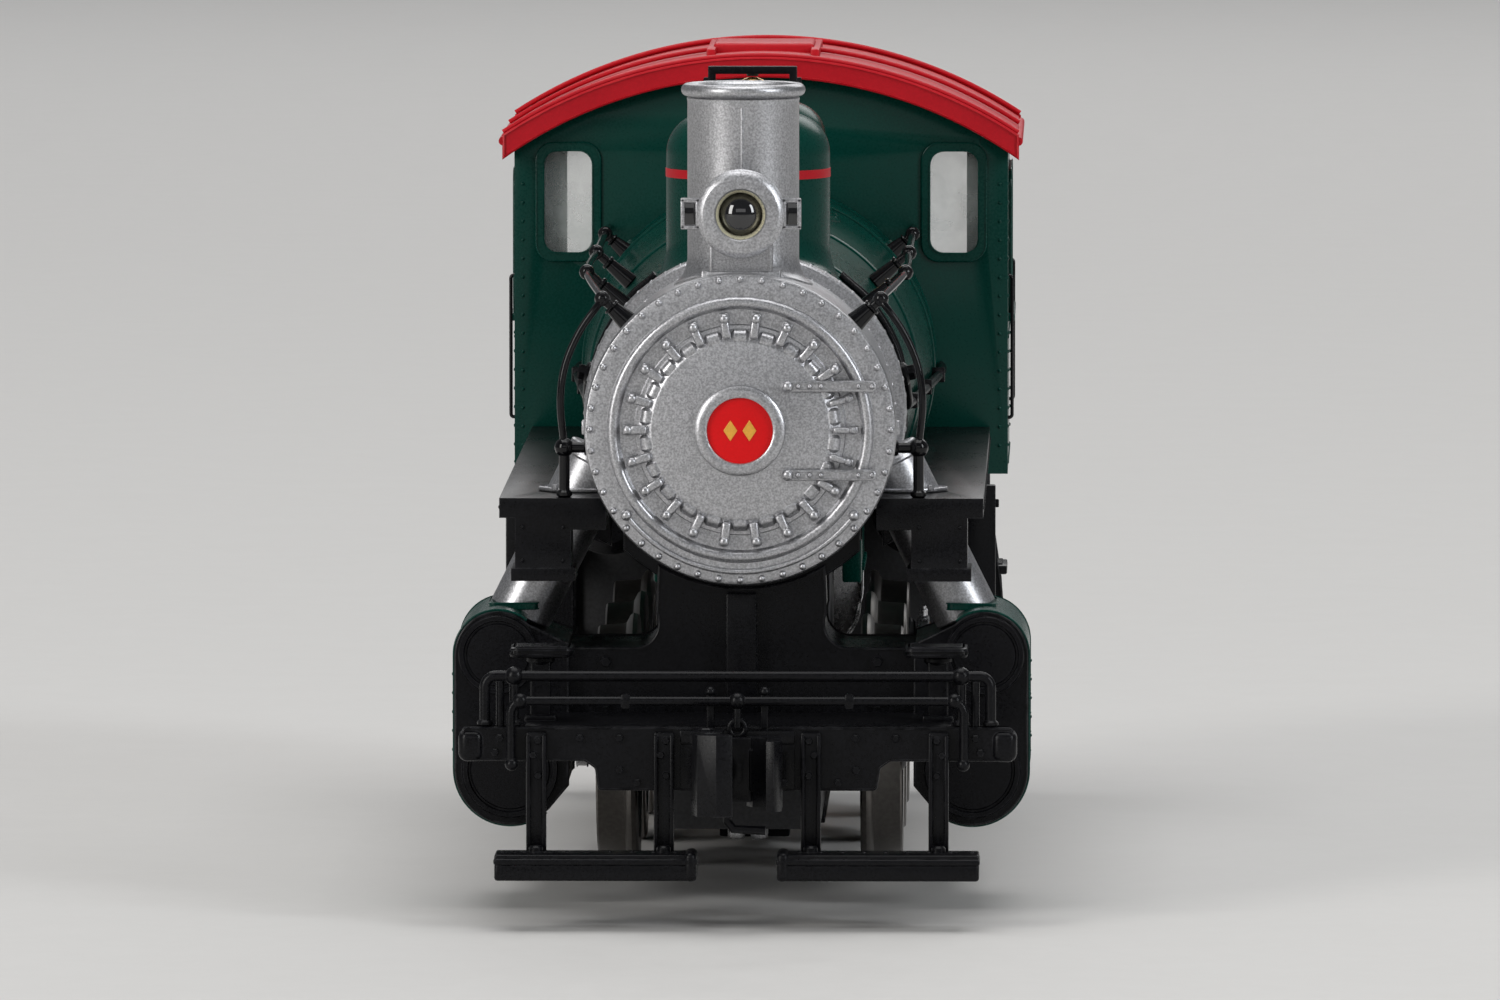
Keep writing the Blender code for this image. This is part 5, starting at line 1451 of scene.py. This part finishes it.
def make_roof():
    low, high = extent("cab_roof")
    radius = roof_radius()
    thickness = 1.4
    outer = roof_arc(radius, high.x, high.z, radius)
    inner = roof_arc(radius - thickness, high.x, high.z, radius)
    shells = [facing_plate([*outer, *reversed(inner)], (low.y, high.y), 0.14)]
    for y in (low.y + 0.35, (low.y + high.y) / 2, high.y - 0.35):
        bead = roof_arc(radius + 0.1, high.x - 0.05, high.z, radius)
        path = [(x, y, z) for x, z in bead]
        shells.append(tube(path, 0.16, 10))
    for side in SIDES.values():
        edge = outer[0][1]
        x, z = side * (high.x - 0.05), edge - 0.45
        gutter = [(x, y, z) for y in (low.y + 0.2, high.y - 0.2)]
        shells.append(tube(gutter, 0.3, 14))
    piece("roof_sheet", shells, "red", stands_for=["cab_roof"])
    hatch = [block((-3.4, high.y - 15.0, high.z - 0.9), (3.4, high.y - 7.5, high.z + 0.35), 0.25, 3)]
    for side in SIDES.values():
        rail = (high.y - 18.5, high.y - 4.0)
        hatch.append(side_block(side, (3.2, 3.8), rail, (high.z - 0.9, high.z + 0.12), 0.12))
    piece("roof_hatch", hatch, "red")


def gauge(x, z, y, radius):
    placing = placed((x, y, z), (0, 1, 0))
    lip = radius - 0.3
    profile = [(radius, -0.6), (radius, 0.35), (radius - 0.08, 0.45), (radius - 0.25, 0.45)]
    rim = turned([*profile, (lip, 0.3), (lip, -0.6)], placing, 40, closed=True)
    face = turned([(0, 0.25), (radius - 0.25, 0.25), (radius - 0.25, -0.6), (0, -0.6)], placing, 40)
    needle = block((x - 0.06, y + 0.24, z - 0.2), (x + 0.06, y + 0.33, z + radius * 0.6), 0.03)
    return rim, face, needle


def make_backhead():
    y = extent("backhead")[1].y - 0.7
    shells = [refined("backhead", 0.15, 2)]
    circle = [(x, z) for x, z in ring_of((0, 0), 9.4, 30, 0) if z > -5.6]
    studs = [placed((x, y - 0.02, AXIS_Z + z), (0, 1, 0)) for x, z in circle]
    shells.append(copies(rivet(0.2, 0.16), studs))
    fire_door = [(0, 0.9), (1.9, 0.9), (2.1, 0.7), (2.1, 0), (0, 0)]
    shells.append(turned(fire_door, placed((0, y + 0.6, 27.5), (0, 1, 0)), 40))
    shells.append(block((-2.9, y + 0.6, 27.2), (-1.9, y + 1.2, 27.8), 0.12))
    throttle = [(0.0, y + 0.2, 37.2), (0.0, y + 1.6, 37.2), (2.2, y + 2.2, 37.0), (5.2, y + 2.2, 36.2)]
    shells.append(tube(flowing(throttle), 0.25, 12))
    for x in (-6.6, 6.6):
        pipe = [(x, y - 0.1, 36.0), (x, y + 0.9, 35.4), (x, y + 0.9, 31.0), (x * 1.05, y + 0.9, 24.0)]
        shells.append(tube(flowing(pipe), 0.3, 12))
    for side in SIDES.values():
        shells.append(side_block(side, (10.2, 15.2), (y + 6.0, y + 12.5), (23.55, 28.4), 0.25, 3))
        shells.append(side_block(side, (9.9, 15.4), (y + 5.7, y + 12.8), (28.3, 29.3), 0.4, 4))
        shells.append(side_block(side, (14.7, 15.4), (y + 5.9, y + 12.6), (29.2, 34.0), 0.3, 3))
    piece("backhead_casting", shells, "black", stands_for=["backhead"])
    make_gauges(y)


def make_gauges(y):
    """The dials and the water glasses on the backhead."""
    rims, faces, needles = [], [], []
    for x, z, radius in ((-2.6, 34.4, 1.0), (0.3, 34.9, 1.25), (3.2, 34.4, 1.0)):
        rim, face, needle = gauge(x, z, y, radius)
        rims.append(rim)
        faces.append(face)
        needles.append(needle)
    for x in (-4.6, 4.8):
        rims.append(rod((x, y + 0.5, 29.4), (x, y + 0.5, 33.2), 0.22, 0.06, 16))
        for z in (29.4, 33.2):
            rims.append(rod((x, y - 0.1, z), (x, y + 0.6, z), 0.36, 0.08, 16))
            rims.append(ball((x, y + 0.6, z), 0.42, 18))
    piece("backhead_brass", rims, "brass")
    piece("gauge_faces", faces, "nylon")
    piece("gauge_needles", needles, "black")


# ---------------------------------------------------------------- wheels, rods, motion


TREAD_RADIUS = 7.5
SPOKES = 8
CRANK_THROW = 3.6


def spoke(angle, inner, outer, x):
    """A tapered oval spoke from the hub to the rim."""
    rings = []
    for radius, wide, deep in ((inner, 0.75, 0.62), ((inner + outer) / 2, 0.6, 0.5), (outer, 0.68, 0.55)):
        ring = []
        for a in np.linspace(0, math.tau, 16, False):
            ring.append((x + deep * math.cos(a), wide * math.sin(a), radius))
        rings.append(np.array(ring))
    return moved(stacked(rings), Matrix.Rotation(math.radians(angle), 4, "X"))


def wheel_shells(pin_reach, head, collar):
    """A driver for the left side, on the X axis, with its crank pin towards the front."""
    back, face = 7.2, 9.9
    tyre = [
        (6.5, face - 0.05),
        (TREAD_RADIUS - 0.22, face),
        (TREAD_RADIUS - 0.1, face - 0.12),
        (TREAD_RADIUS, back + 1.1),
        (TREAD_RADIUS + 0.1, back + 0.85),
        (TREAD_RADIUS + 0.55, back + 0.62),
        (TREAD_RADIUS + 0.7, back + 0.4),
        (TREAD_RADIUS + 0.62, back + 0.12),
        (TREAD_RADIUS + 0.4, back),
        (6.5, back),
    ]
    rim = [(5.95, face - 0.45), (6.15, face - 0.2), (6.52, face - 0.2), (6.52, back + 0.1)]
    rim += [(6.0, back + 0.1), (5.9, back + 0.5)]
    hub = [(0.0, face + 0.35), (1.1, face + 0.35), (1.2, face + 0.25), (1.75, face + 0.2)]
    hub += [(2.0, face - 0.05), (2.1, back + 0.2), (2.0, back), (0, back)]
    black = [turned(rim, LEFT, ROUND, closed=True), turned(hub, LEFT, 48)]
    for i in range(SPOKES):
        black.append(spoke(360.0 / SPOKES * i, 1.7, 6.2, (back + face) / 2 + 0.25))
    weight = arc((0.0, 0.0), 6.35, -40.0, 40.0, 24)
    black.append(side_plate(rounded(weight, 0.3, 3), (back + 1.2, face - 0.15), 0.15))
    boss = [(0, face + 0.42), (1.1, face + 0.42), (1.45, face + 0.1), (1.5, back + 1.2), (0, back + 1.2)]
    black.append(moved(turned(boss, LEFT, 40), Matrix.Translation((0, -CRANK_THROW, 0))))
    web = rounded([(0.0, 1.9), (0.0, -1.9), (-CRANK_THROW, -1.4), (-CRANK_THROW, 1.4)], 0.2, 3)
    black.append(side_plate(web, (back + 1.2, face), 0.15))
    pin = [rod((face, -CRANK_THROW, 0), (pin_reach, -CRANK_THROW, 0), 0.74, 0.06, 32)]
    cap = bolt(1.12, head[1] - head[0], Matrix.Translation((head[0], -CRANK_THROW, 0)) @ LEFT)
    pin.append(cap)
    pin.append(rod((head[1] - 0.1, -CRANK_THROW, 0), (head[1] + 0.12, -CRANK_THROW, 0), 0.5, 0.08, 24))
    if collar:
        pin.append(rod((collar[0], -CRANK_THROW, 0), (collar[1], -CRANK_THROW, 0), 1.08, 0.05, 32))
    pin.append(rod((face + 0.3, 0, 0), (face + 0.42, 0, 0), 0.85, 0.05, 32))
    return [turned(tyre, LEFT, 128, closed=True)], black, pin


def make_wheels():
    side_rod = extent("side_rod_left")
    main_rod = extent("main_rod_left")
    end_head = (side_rod[1].x + 0.05, side_rod[1].x + 0.35)
    main_head = (main_rod[1].x + 0.05, main_rod[1].x + 0.4)
    collar = (side_rod[1].x + 0.05, main_rod[0].x - 0.05)
    end_shapes = wheel_shells(end_head[0] + 0.1, end_head, None)
    main_shapes = wheel_shells(main_head[0] + 0.1, main_head, collar)
    for place, body in (("front", "driver_front"), ("main", "driver_main"), ("rear", "driver_rear")):
        centre = middle(f"axle_{place}")
        shapes = main_shapes if place == "main" else end_shapes
        for name, side in SIDES.items():
            turn = Matrix.Rotation(math.radians(-90.0 if side > 0 else 0.0), 4, "X")
            if side < 0:
                turn = turn @ Matrix.Rotation(math.pi, 4, "Y")
            placing = Matrix.Translation((0.0, centre.y, centre.z)) @ turn
            tyre, black, pin = [[moved(shell, placing) for shell in group] for group in shapes]
            node = f"wheel_{place}_{name}"
            piece(f"{node}_tyre", tyre, "tyre", body, stands_for=[node])
            piece(f"{node}_centre", black, "wheel_black", body)
            piece(f"{node}_pin", pin, "steel", body)
        axle = extent(f"axle_{place}")
        shaft = [rod((axle[0].x, centre.y, centre.z), (axle[1].x, centre.y, centre.z), 0.98, 0.08, 32)]
        shaft.append(rod((-7.1, centre.y, centre.z), (7.1, centre.y, centre.z), 1.49, 0.1, 40))
        piece(f"axle_{place}_bar", shaft, "steel", body, stands_for=[f"axle_{place}"])


def crank_pin(side, axle_y):
    """Where a crank pin is at rest, as (y, z)."""
    centre = middle("axle_main").z
    return (axle_y, centre + CRANK_THROW) if side > 0 else (axle_y - CRANK_THROW, centre)


def rod_outline(start, end, eye_start, eye_end, half_width):
    """A straight bar in (y, z) between two round eyes."""
    start, end = Vector(start), Vector(end)
    along = math.degrees(math.atan2(end.y - start.y, end.x - start.x))
    spread_start = math.degrees(math.asin(half_width / eye_start))
    spread_end = math.degrees(math.asin(half_width / eye_end))
    first = arc(start, eye_start, along + spread_start, along + 360.0 - spread_start, EYE_STEPS)
    last = arc(end, eye_end, along + 180.0 + spread_end, along + 540.0 - spread_end, EYE_STEPS)
    return [*first, *last]


def bushing(y, z, x, side, radius):
    """A brass bush standing a little proud of a rod's eye."""
    placing = outward(side, x[0], y, z)
    depth = x[1] - x[0]
    profile = [(0.86, 0.02), (radius, 0.02), (radius, depth + 0.04), (0.86, depth + 0.04)]
    return turned(profile, placing, 40, closed=True)


def oil_cup(y, z, x, side):
    foot = Vector((side * x, y, z))
    lid = rod(foot + Vector((0, 0, 0.5)), foot + Vector((0, 0, 0.75)), 0.2, 0.05, 16)
    return [rod(foot, foot + Vector((0, 0, 0.55)), 0.3, 0.06, 16), lid]


def make_rods():
    for name, side in SIDES.items():
        low, high = extent(f"side_rod_{name}")
        x = sorted((abs(low.x), abs(high.x)))
        pins = [crank_pin(side, middle(f"axle_{place}").y) for place in ("front", "main", "rear")]
        shells, bushes = [], []
        for first, last in ((0, 1), (1, 2)):
            outline = rod_outline(pins[first], pins[last], 1.55, 1.55, 0.72)
            shells.append(side_plate(outline, across(x, side), 0.1))
            shells += rod_flute(pins[first], pins[last], 2.6, 0.3, side * x[1], side)
        for y, z in pins:
            bushes.append(bushing(y, z, x, side, 1.12))
            shells += oil_cup(y, z + 1.45, sum(x) / 2, side)
        piece(f"side_rod_{name}_bar", shells, "steel", f"side_rod_{name}", stands_for=[f"side_rod_{name}"])
        piece(f"side_rod_{name}_bushes", bushes, "bronze", f"side_rod_{name}")
        make_main_rod(name, side)
        make_crosshead(name, side)


def make_main_rod(name, side):
    low, high = extent(f"main_rod_{name}")
    x = sorted((abs(low.x), abs(high.x)))
    cross = middle(f"crosshead_{name}")
    wrist = (wrist_place(name), cross.z)
    pin = crank_pin(side, middle("axle_main").y)
    shells = [side_plate(rod_outline(wrist, pin, 1.25, 1.68, 0.78), across(x, side), 0.1)]
    shells += rod_flute(wrist, pin, 3.0, 0.34, side * x[1], side)
    shells += oil_cup(pin[0], pin[1] + 1.6, sum(x) / 2, side)
    shells += strap_end(wrist, pin, x, side)
    piece(f"main_rod_{name}_bar", shells, "steel", f"main_rod_{name}", stands_for=[f"main_rod_{name}"])
    bushes = [bushing(*pin, x, side, 1.2), bushing(*wrist, x, side, 0.98)]
    piece(f"main_rod_{name}_bushes", bushes, "bronze", f"main_rod_{name}")


def wrist_place(name):
    """The wrist pin's place along the engine, from the ends of the main rod."""
    return extent(f"main_rod_{name}")[0].y + 1.3


def rod_flute(start, end, margin, half, x, side):
    """Two raised edges along a rod, which leave a flute between them."""
    start, end = Vector(start), Vector(end)
    along = (end - start).normalized()
    across_rod = Vector((-along.y, along.x))
    shells = []
    for sign in (-1, 1):
        offset = across_rod * (sign * half * 1.55)
        one, two = start + along * margin + offset, end - along * margin + offset
        shells.append(tube([(x - side * 0.02, one.x, one.y), (x - side * 0.02, two.x, two.y)], 0.1, 10))
    return shells


def strap_end(wrist, pin, x, side):
    """The wedge and bolts of the main rod's big end."""
    wrist, pin = Vector(wrist), Vector(pin)
    along = (wrist - pin).normalized()
    shells = []
    for reach in (2.3, 3.1):
        y, z = pin + along * reach
        shells.append(bolt(0.24, 0.16, outward(side, x[1], y, z)))
    return shells


def make_crosshead(name, side):
    low, high = extent(f"crosshead_{name}")
    inner, outer = sorted((abs(low.x), abs(high.x)))
    wrist = wrist_place(name)
    centre = middle(f"crosshead_{name}").z
    block_low = (side * (inner + 0.05), wrist - 2.15, centre - 1.95)
    shells = [block(block_low, (side * (outer - 0.35), wrist + 2.15, centre + 1.95), 0.22, 3)]
    for z in (-1.75, 1.75):
        low_slip = (side * (inner + 0.35), wrist - 2.25, centre + z - 0.3)
        shells.append(block(low_slip, (side * (outer - 0.2), wrist + 2.25, centre + z + 0.25), 0.1))
    rod_x = middle(f"crosshead_guide_{name}").x
    shells.append(rod((rod_x, wrist - 1.5, centre), (rod_x, low.y, centre), 0.6, 0.05, 32))
    shells.append(rod((rod_x, wrist - 3.4, centre), (rod_x, wrist - 2.0, centre), 1.05, 0.15, 32))
    shells.append(rod((side * (outer - 0.8), wrist, centre), (side * outer, wrist, centre), 0.9, 0.1, 32))
    shells.append(bolt(0.55, 0.22, outward(side, outer - 0.05, wrist, centre)))
    piece(f"crosshead_{name}_block", shells, "steel", f"crosshead_{name}", stands_for=[f"crosshead_{name}"])

    shells = [refined(f"crosshead_guide_{name}", 0.1, 2)]
    guide_low, guide_high = extent(f"crosshead_guide_{name}")
    outer = max(abs(guide_low.x), abs(guide_high.x))
    for z in (guide_low.z + 0.9, centre, centre + 6.0, guide_high.z - 1.2):
        spot = outward(side, outer, guide_high.y - 0.55, z)
        shells.append(bolt(0.3, 0.22, spot))
    piece(f"guide_{name}", shells, "black", stands_for=[f"crosshead_guide_{name}"])


# ---------------------------------------------------------------- frame, drive and underside


def make_frame():
    low, high = extent("frame")
    shells = [refined("frame", 0.12, 2)]
    axle_y = [middle(f"axle_{place}").y for place in ("front", "main", "rear")]
    corners = [v.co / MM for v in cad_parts["frame"].data.vertices]
    side_x = max(corner.x for corner in corners if corner.y < 0)
    for side in SIDES.values():
        for y in axle_y:
            shells += axle_box(side, side_x, y)
        for first, last in zip(axle_y, axle_y[1:]):
            shells += leaf_spring(side, side_x, (first + last) / 2)
            shells.append(brake_hanger(side, side_x - 0.6, last - 8.0))
        for y in np.arange(low.y + 12.0, high.y - 2.0, 4.2):
            if min(abs(y - place) for place in axle_y) > 2.6:
                spot = outward(side, side_x, y, 9.3)
                shells.append(bolt(0.32, 0.22, spot))
    piece("frame_casting", shells, "casting", stands_for=["frame"])


def axle_box(side, x, y):
    """The horn guides beside an axle."""
    shells = []
    for dy in (-2.15, 2.15):
        shells.append(side_block(side, (x - 0.3, x + 0.5), (y + dy - 0.4, y + dy + 0.4), (4.9, 10.1), 0.12))
    shells.append(side_block(side, (x - 0.3, x + 0.42), (y - 2.4, y + 2.4), (9.3, 10.1), 0.12))
    return shells


def leaf_spring(side, x, y):
    """A stack of leaves over the frame, shorter towards the bottom."""
    shells = []
    for i in range(5):
        half = 5.2 - i * 0.75
        z = 12.0 - i * 0.32
        path = [(side * (x - 0.6), y + half * t, z - 0.55 * t * t) for t in np.linspace(-1, 1, 13)]
        rings = []
        for px, py, pz in path:
            corners = [(-0.55, -0.14), (0.55, -0.14), (0.55, 0.14), (-0.55, 0.14)]
            rings.append(np.array([(px + dx, py, pz + dz) for dx, dz in corners]))
        shells.append(stacked(rings))
    shells.append(side_block(side, (x - 1.3, x + 0.1), (y - 0.5, y + 0.5), (10.1, 12.45), 0.12))
    for end in (-5.0, 5.0):
        foot = (side * (x - 0.6), y + end)
        shells.append(rod((*foot, 10.1), (*foot, 11.7), 0.22, 0.05, 16))
    return shells


def brake_hanger(side, x, y):
    """A brake hanger that stands clear of the wheel."""
    return side_block(side, (x - 0.2, x + 0.9), (y - 0.35, y + 0.35), (4.9, 10.0), 0.1)


def make_reservoirs():
    """An air tank under each side of the cab, with its straps, drain and pipe."""
    cab_low = extent("cab")[0]
    radius = 2.6
    x, z = 10.3, cab_low.z - radius - 0.25
    shells = []
    for side in SIDES.values():
        start = Vector((side * x, cab_low.y + 0.6, z))
        end = Vector((side * x, extent("frame")[1].y - 2.2, z))
        shells.append(rod(start, end, radius, 0.7, 56))
        for y in (start.y + 3.0, end.y - 3.0):
            strap = [(side * x + (radius + 0.1) * math.cos(a), y, z + (radius + 0.1) * math.sin(a))
                     for a in np.linspace(0, math.tau, 49)]
            shells.append(tube(strap, 0.2, 10))
            levels = (z + radius - 0.2, cab_low.z + 0.1)
            shells.append(side_block(side, (x - 0.4, x + 0.4), (y - 0.3, y + 0.3), levels, 0.08))
        drain = (side * x, start.y + 8.0)
        shells.append(rod((*drain, z - radius - 0.5), (*drain, z), 0.3, 0.1, 16))
        bends = ((0, 0.3, 0), (0, -0.35, 0), (-side * 3.0, -0.35, 1.6))
        pipe = [start + Vector(bend) for bend in bends]
        shells.append(tube(rounded([tuple(p) for p in pipe], 0.3, 5, closed=False), 0.28, 12))
    piece("air_reservoirs", shells, "black")


def make_cab_steps():
    """Two treads between side plates, hung from each side of the cab floor."""
    cab_low, cab_high = extent("cab")
    top = cab_low.z + 0.1
    inner, outer = 12.9, cab_high.x - 0.1
    front, rear = 29.6, 35.6
    shells = []
    for side in SIDES.values():
        for y in (front, rear):
            outline = [(inner, top), (outer - 1.6, top), (outer - 0.4, 14.0), (outer, 8.3), (inner, 8.3)]
            outline = rounded(outline, 0.5, 4)
            shells.append(facing_plate(mirrored(outline, side), (y - 0.25, y + 0.25), 0.08))
        for z in (8.4, 14.6):
            shells.append(side_block(side, (inner, outer), (front, rear), (z, z + 0.6), 0.12))
            shells.append(side_block(side, (inner - 0.1, inner + 0.3), (front, rear), (z, z + 2.2), 0.1))
            for y in np.arange(front + 0.9, rear - 0.5, 0.7):
                tread = (inner + 0.6, outer - 0.3)
                shells.append(side_block(side, tread, (y, y + 0.2), (z + 0.5, z + 0.72), 0.05))
    piece("cab_steps", shells, "black")


def make_drive():
    """The motor under the cab with its end bells, and the nodes that keep their own shapes."""
    low, high = extent("motor")
    shells = [refined("motor", 0.2, 3)]
    for x in (-4.0, 4.0):
        for z in (low.z + 1.6, high.z - 1.6):
            spot = forward(x, 18.2, z)
            shells.append(moved(rivet(0.45, 0.25), spot))
    for y in (low.y + 1.2, high.y - 2.0):
        outline = rounded(rectangle((low.x - 0.08, high.x + 0.08), (low.z - 0.08, high.z + 0.08)), 3.05, 8)
        shells.append(facing_plate(outline, (y - 0.3, y + 0.3), 0.06))
    piece("motor_can", shells, "steel", stands_for=["motor"])
    shaft_low, shaft_high = extent("motor_shaft")
    centre = middle("motor_shaft")
    shaft = rod((0, shaft_low.y, centre.z), (0, shaft_high.y, centre.z), 0.74, 0.08, 32)
    piece("motor_shaft_bar", [shaft], "steel", "motor_rotor", stands_for=["motor_shaft"])
    piece("worm_thread", [refined("worm", 0.03, 1, 40)], "bronze", "motor_rotor", stands_for=["worm"])
    piece("gear_wheel", [refined("worm_gear", 0.04, 1)], "nylon", "driver_main", stands_for=["worm_gear"])
    for node, finish, body in (
        ("bottom_cover", "black", "chassis"),
        ("cover_screw", "steel", "chassis"),
        ("pickup_plate", "bronze", "chassis"),
        ("drawbar", "steel", "drawbar"),
        ("boiler_weight", "casting", "chassis"),
        ("circuit_board", "board", "chassis"),
    ):
        piece(f"{node}_shape", [refined(node, 0.1, 2)], finish, body, stands_for=[node])
    repaint("cab_glazing", "glass")


# ---------------------------------------------------------------- stage, light, camera


CAMERA_PLACE = (22.7, -1204.0, 107.2)
CAMERA_TILT = -4.06
CAMERA_TURN = 1.10
CAMERA_LENS = 439.0


def area_light(name, place, target, size, power, colour=(1, 1, 1)):
    data = bpy.data.lights.new(name, "AREA")
    data.shape = "RECTANGLE"
    data.size, data.size_y = size
    data.energy = power
    data.color = colour
    obj = bpy.data.objects.new(name, data)
    obj.location = place
    obj.rotation_euler = (Vector(target) - Vector(place)).to_track_quat("-Z", "Y").to_euler()
    bpy.context.scene.collection.objects.link(obj)


FLOOR_GLOW = 0.3


def floor_material():
    """Pale paper, kept bright to the camera where the lamps no longer reach."""
    material = surface("floor_paper", (0.6, 0.59, 0.575), 0.75, speck=0.01, blotch=0.015,
                       bump=0.02, wear=0.0, grain=1.5, specular=0.2)
    tree = material.node_tree
    shader = tree.nodes["Principled BSDF"]
    seen = add(tree, "ShaderNodeLightPath").outputs["Is Camera Ray"]
    place = add(tree, "ShaderNodeTexCoord").outputs["Object"]
    distance = add(tree, "ShaderNodeVectorMath", {0: place}, operation="LENGTH").outputs["Value"]
    far = rescaled(tree, distance, (0.2, 3.0), (0.0, FLOOR_GLOW))
    tree.links.new(sum_of(tree, "MULTIPLY", seen, far), shader.inputs["Emission Strength"])
    shader.inputs["Emission Color"].default_value = (1.0, 1.0, 1.0, 1.0)
    return material


def make_stage():
    mesh = bmesh.new()
    bmesh.ops.create_circle(mesh, cap_ends=True, segments=64, radius=9.0)
    data = bpy.data.meshes.new("floor")
    mesh.to_mesh(data)
    mesh.free()
    floor = bpy.data.objects.new("floor", data)
    floor.location.z = CAD_BOUNDS[0][2]
    bpy.context.scene.collection.objects.link(floor)
    data.materials.append(floor_material())
    make_lights()


def make_lights():
    world = bpy.data.worlds.new("studio")
    world.use_nodes = True
    background = world.node_tree.nodes["Background"]
    background.inputs["Color"].default_value = (0.9, 0.92, 0.95, 1.0)
    background.inputs["Strength"].default_value = 0.16
    bpy.context.scene.world = world
    aim = (0.0, -0.02, 0.03)
    area_light("key_left", (-0.75, -0.75, 0.4), aim, (0.3, 0.7), 5.5, (1.0, 0.985, 0.96))
    area_light("key_right", (0.8, -0.6, 0.45), aim, (0.22, 0.6), 4.0, (0.94, 0.97, 1.0))
    area_light("top", (0.0, 0.0, 1.0), aim, (0.9, 0.9), 7.0)
    area_light("front", (0.0, -1.6, 0.5), aim, (1.2, 0.4), 1.2)
    area_light("back", (0.2, 1.2, 0.7), aim, (1.2, 0.5), 4.0)


def make_camera():
    data = bpy.data.cameras.new("camera")
    data.lens = CAMERA_LENS
    data.sensor_width = 36.0
    data.clip_start = 0.01
    data.clip_end = 50.0
    camera = bpy.data.objects.new("camera", data)
    camera.location = Vector(CAMERA_PLACE) * MM
    camera.rotation_euler = (math.radians(90.0 + CAMERA_TILT), 0.0, math.radians(CAMERA_TURN))
    bpy.context.scene.collection.objects.link(camera)
    bpy.context.scene.camera = camera


def main():
    make_smokebox()
    make_smokebox_front()
    make_number_plate()
    make_stack()
    make_headlight()
    make_domes()
    make_safety_valves()
    make_boiler()
    make_bell()
    make_handrails()
    make_running_boards()
    make_steam_pipes()
    make_cylinders()
    make_pilot()
    make_footboards()
    make_grab_rail()
    make_cut_lever()
    make_coupler()
    make_cab()
    make_roof()
    make_backhead()
    make_wheels()
    make_rods()
    make_frame()
    make_reservoirs()
    make_cab_steps()
    make_drive()
    make_stage()
    make_camera()


main()
bpy.context.scene.view_settings.view_transform = "Standard"
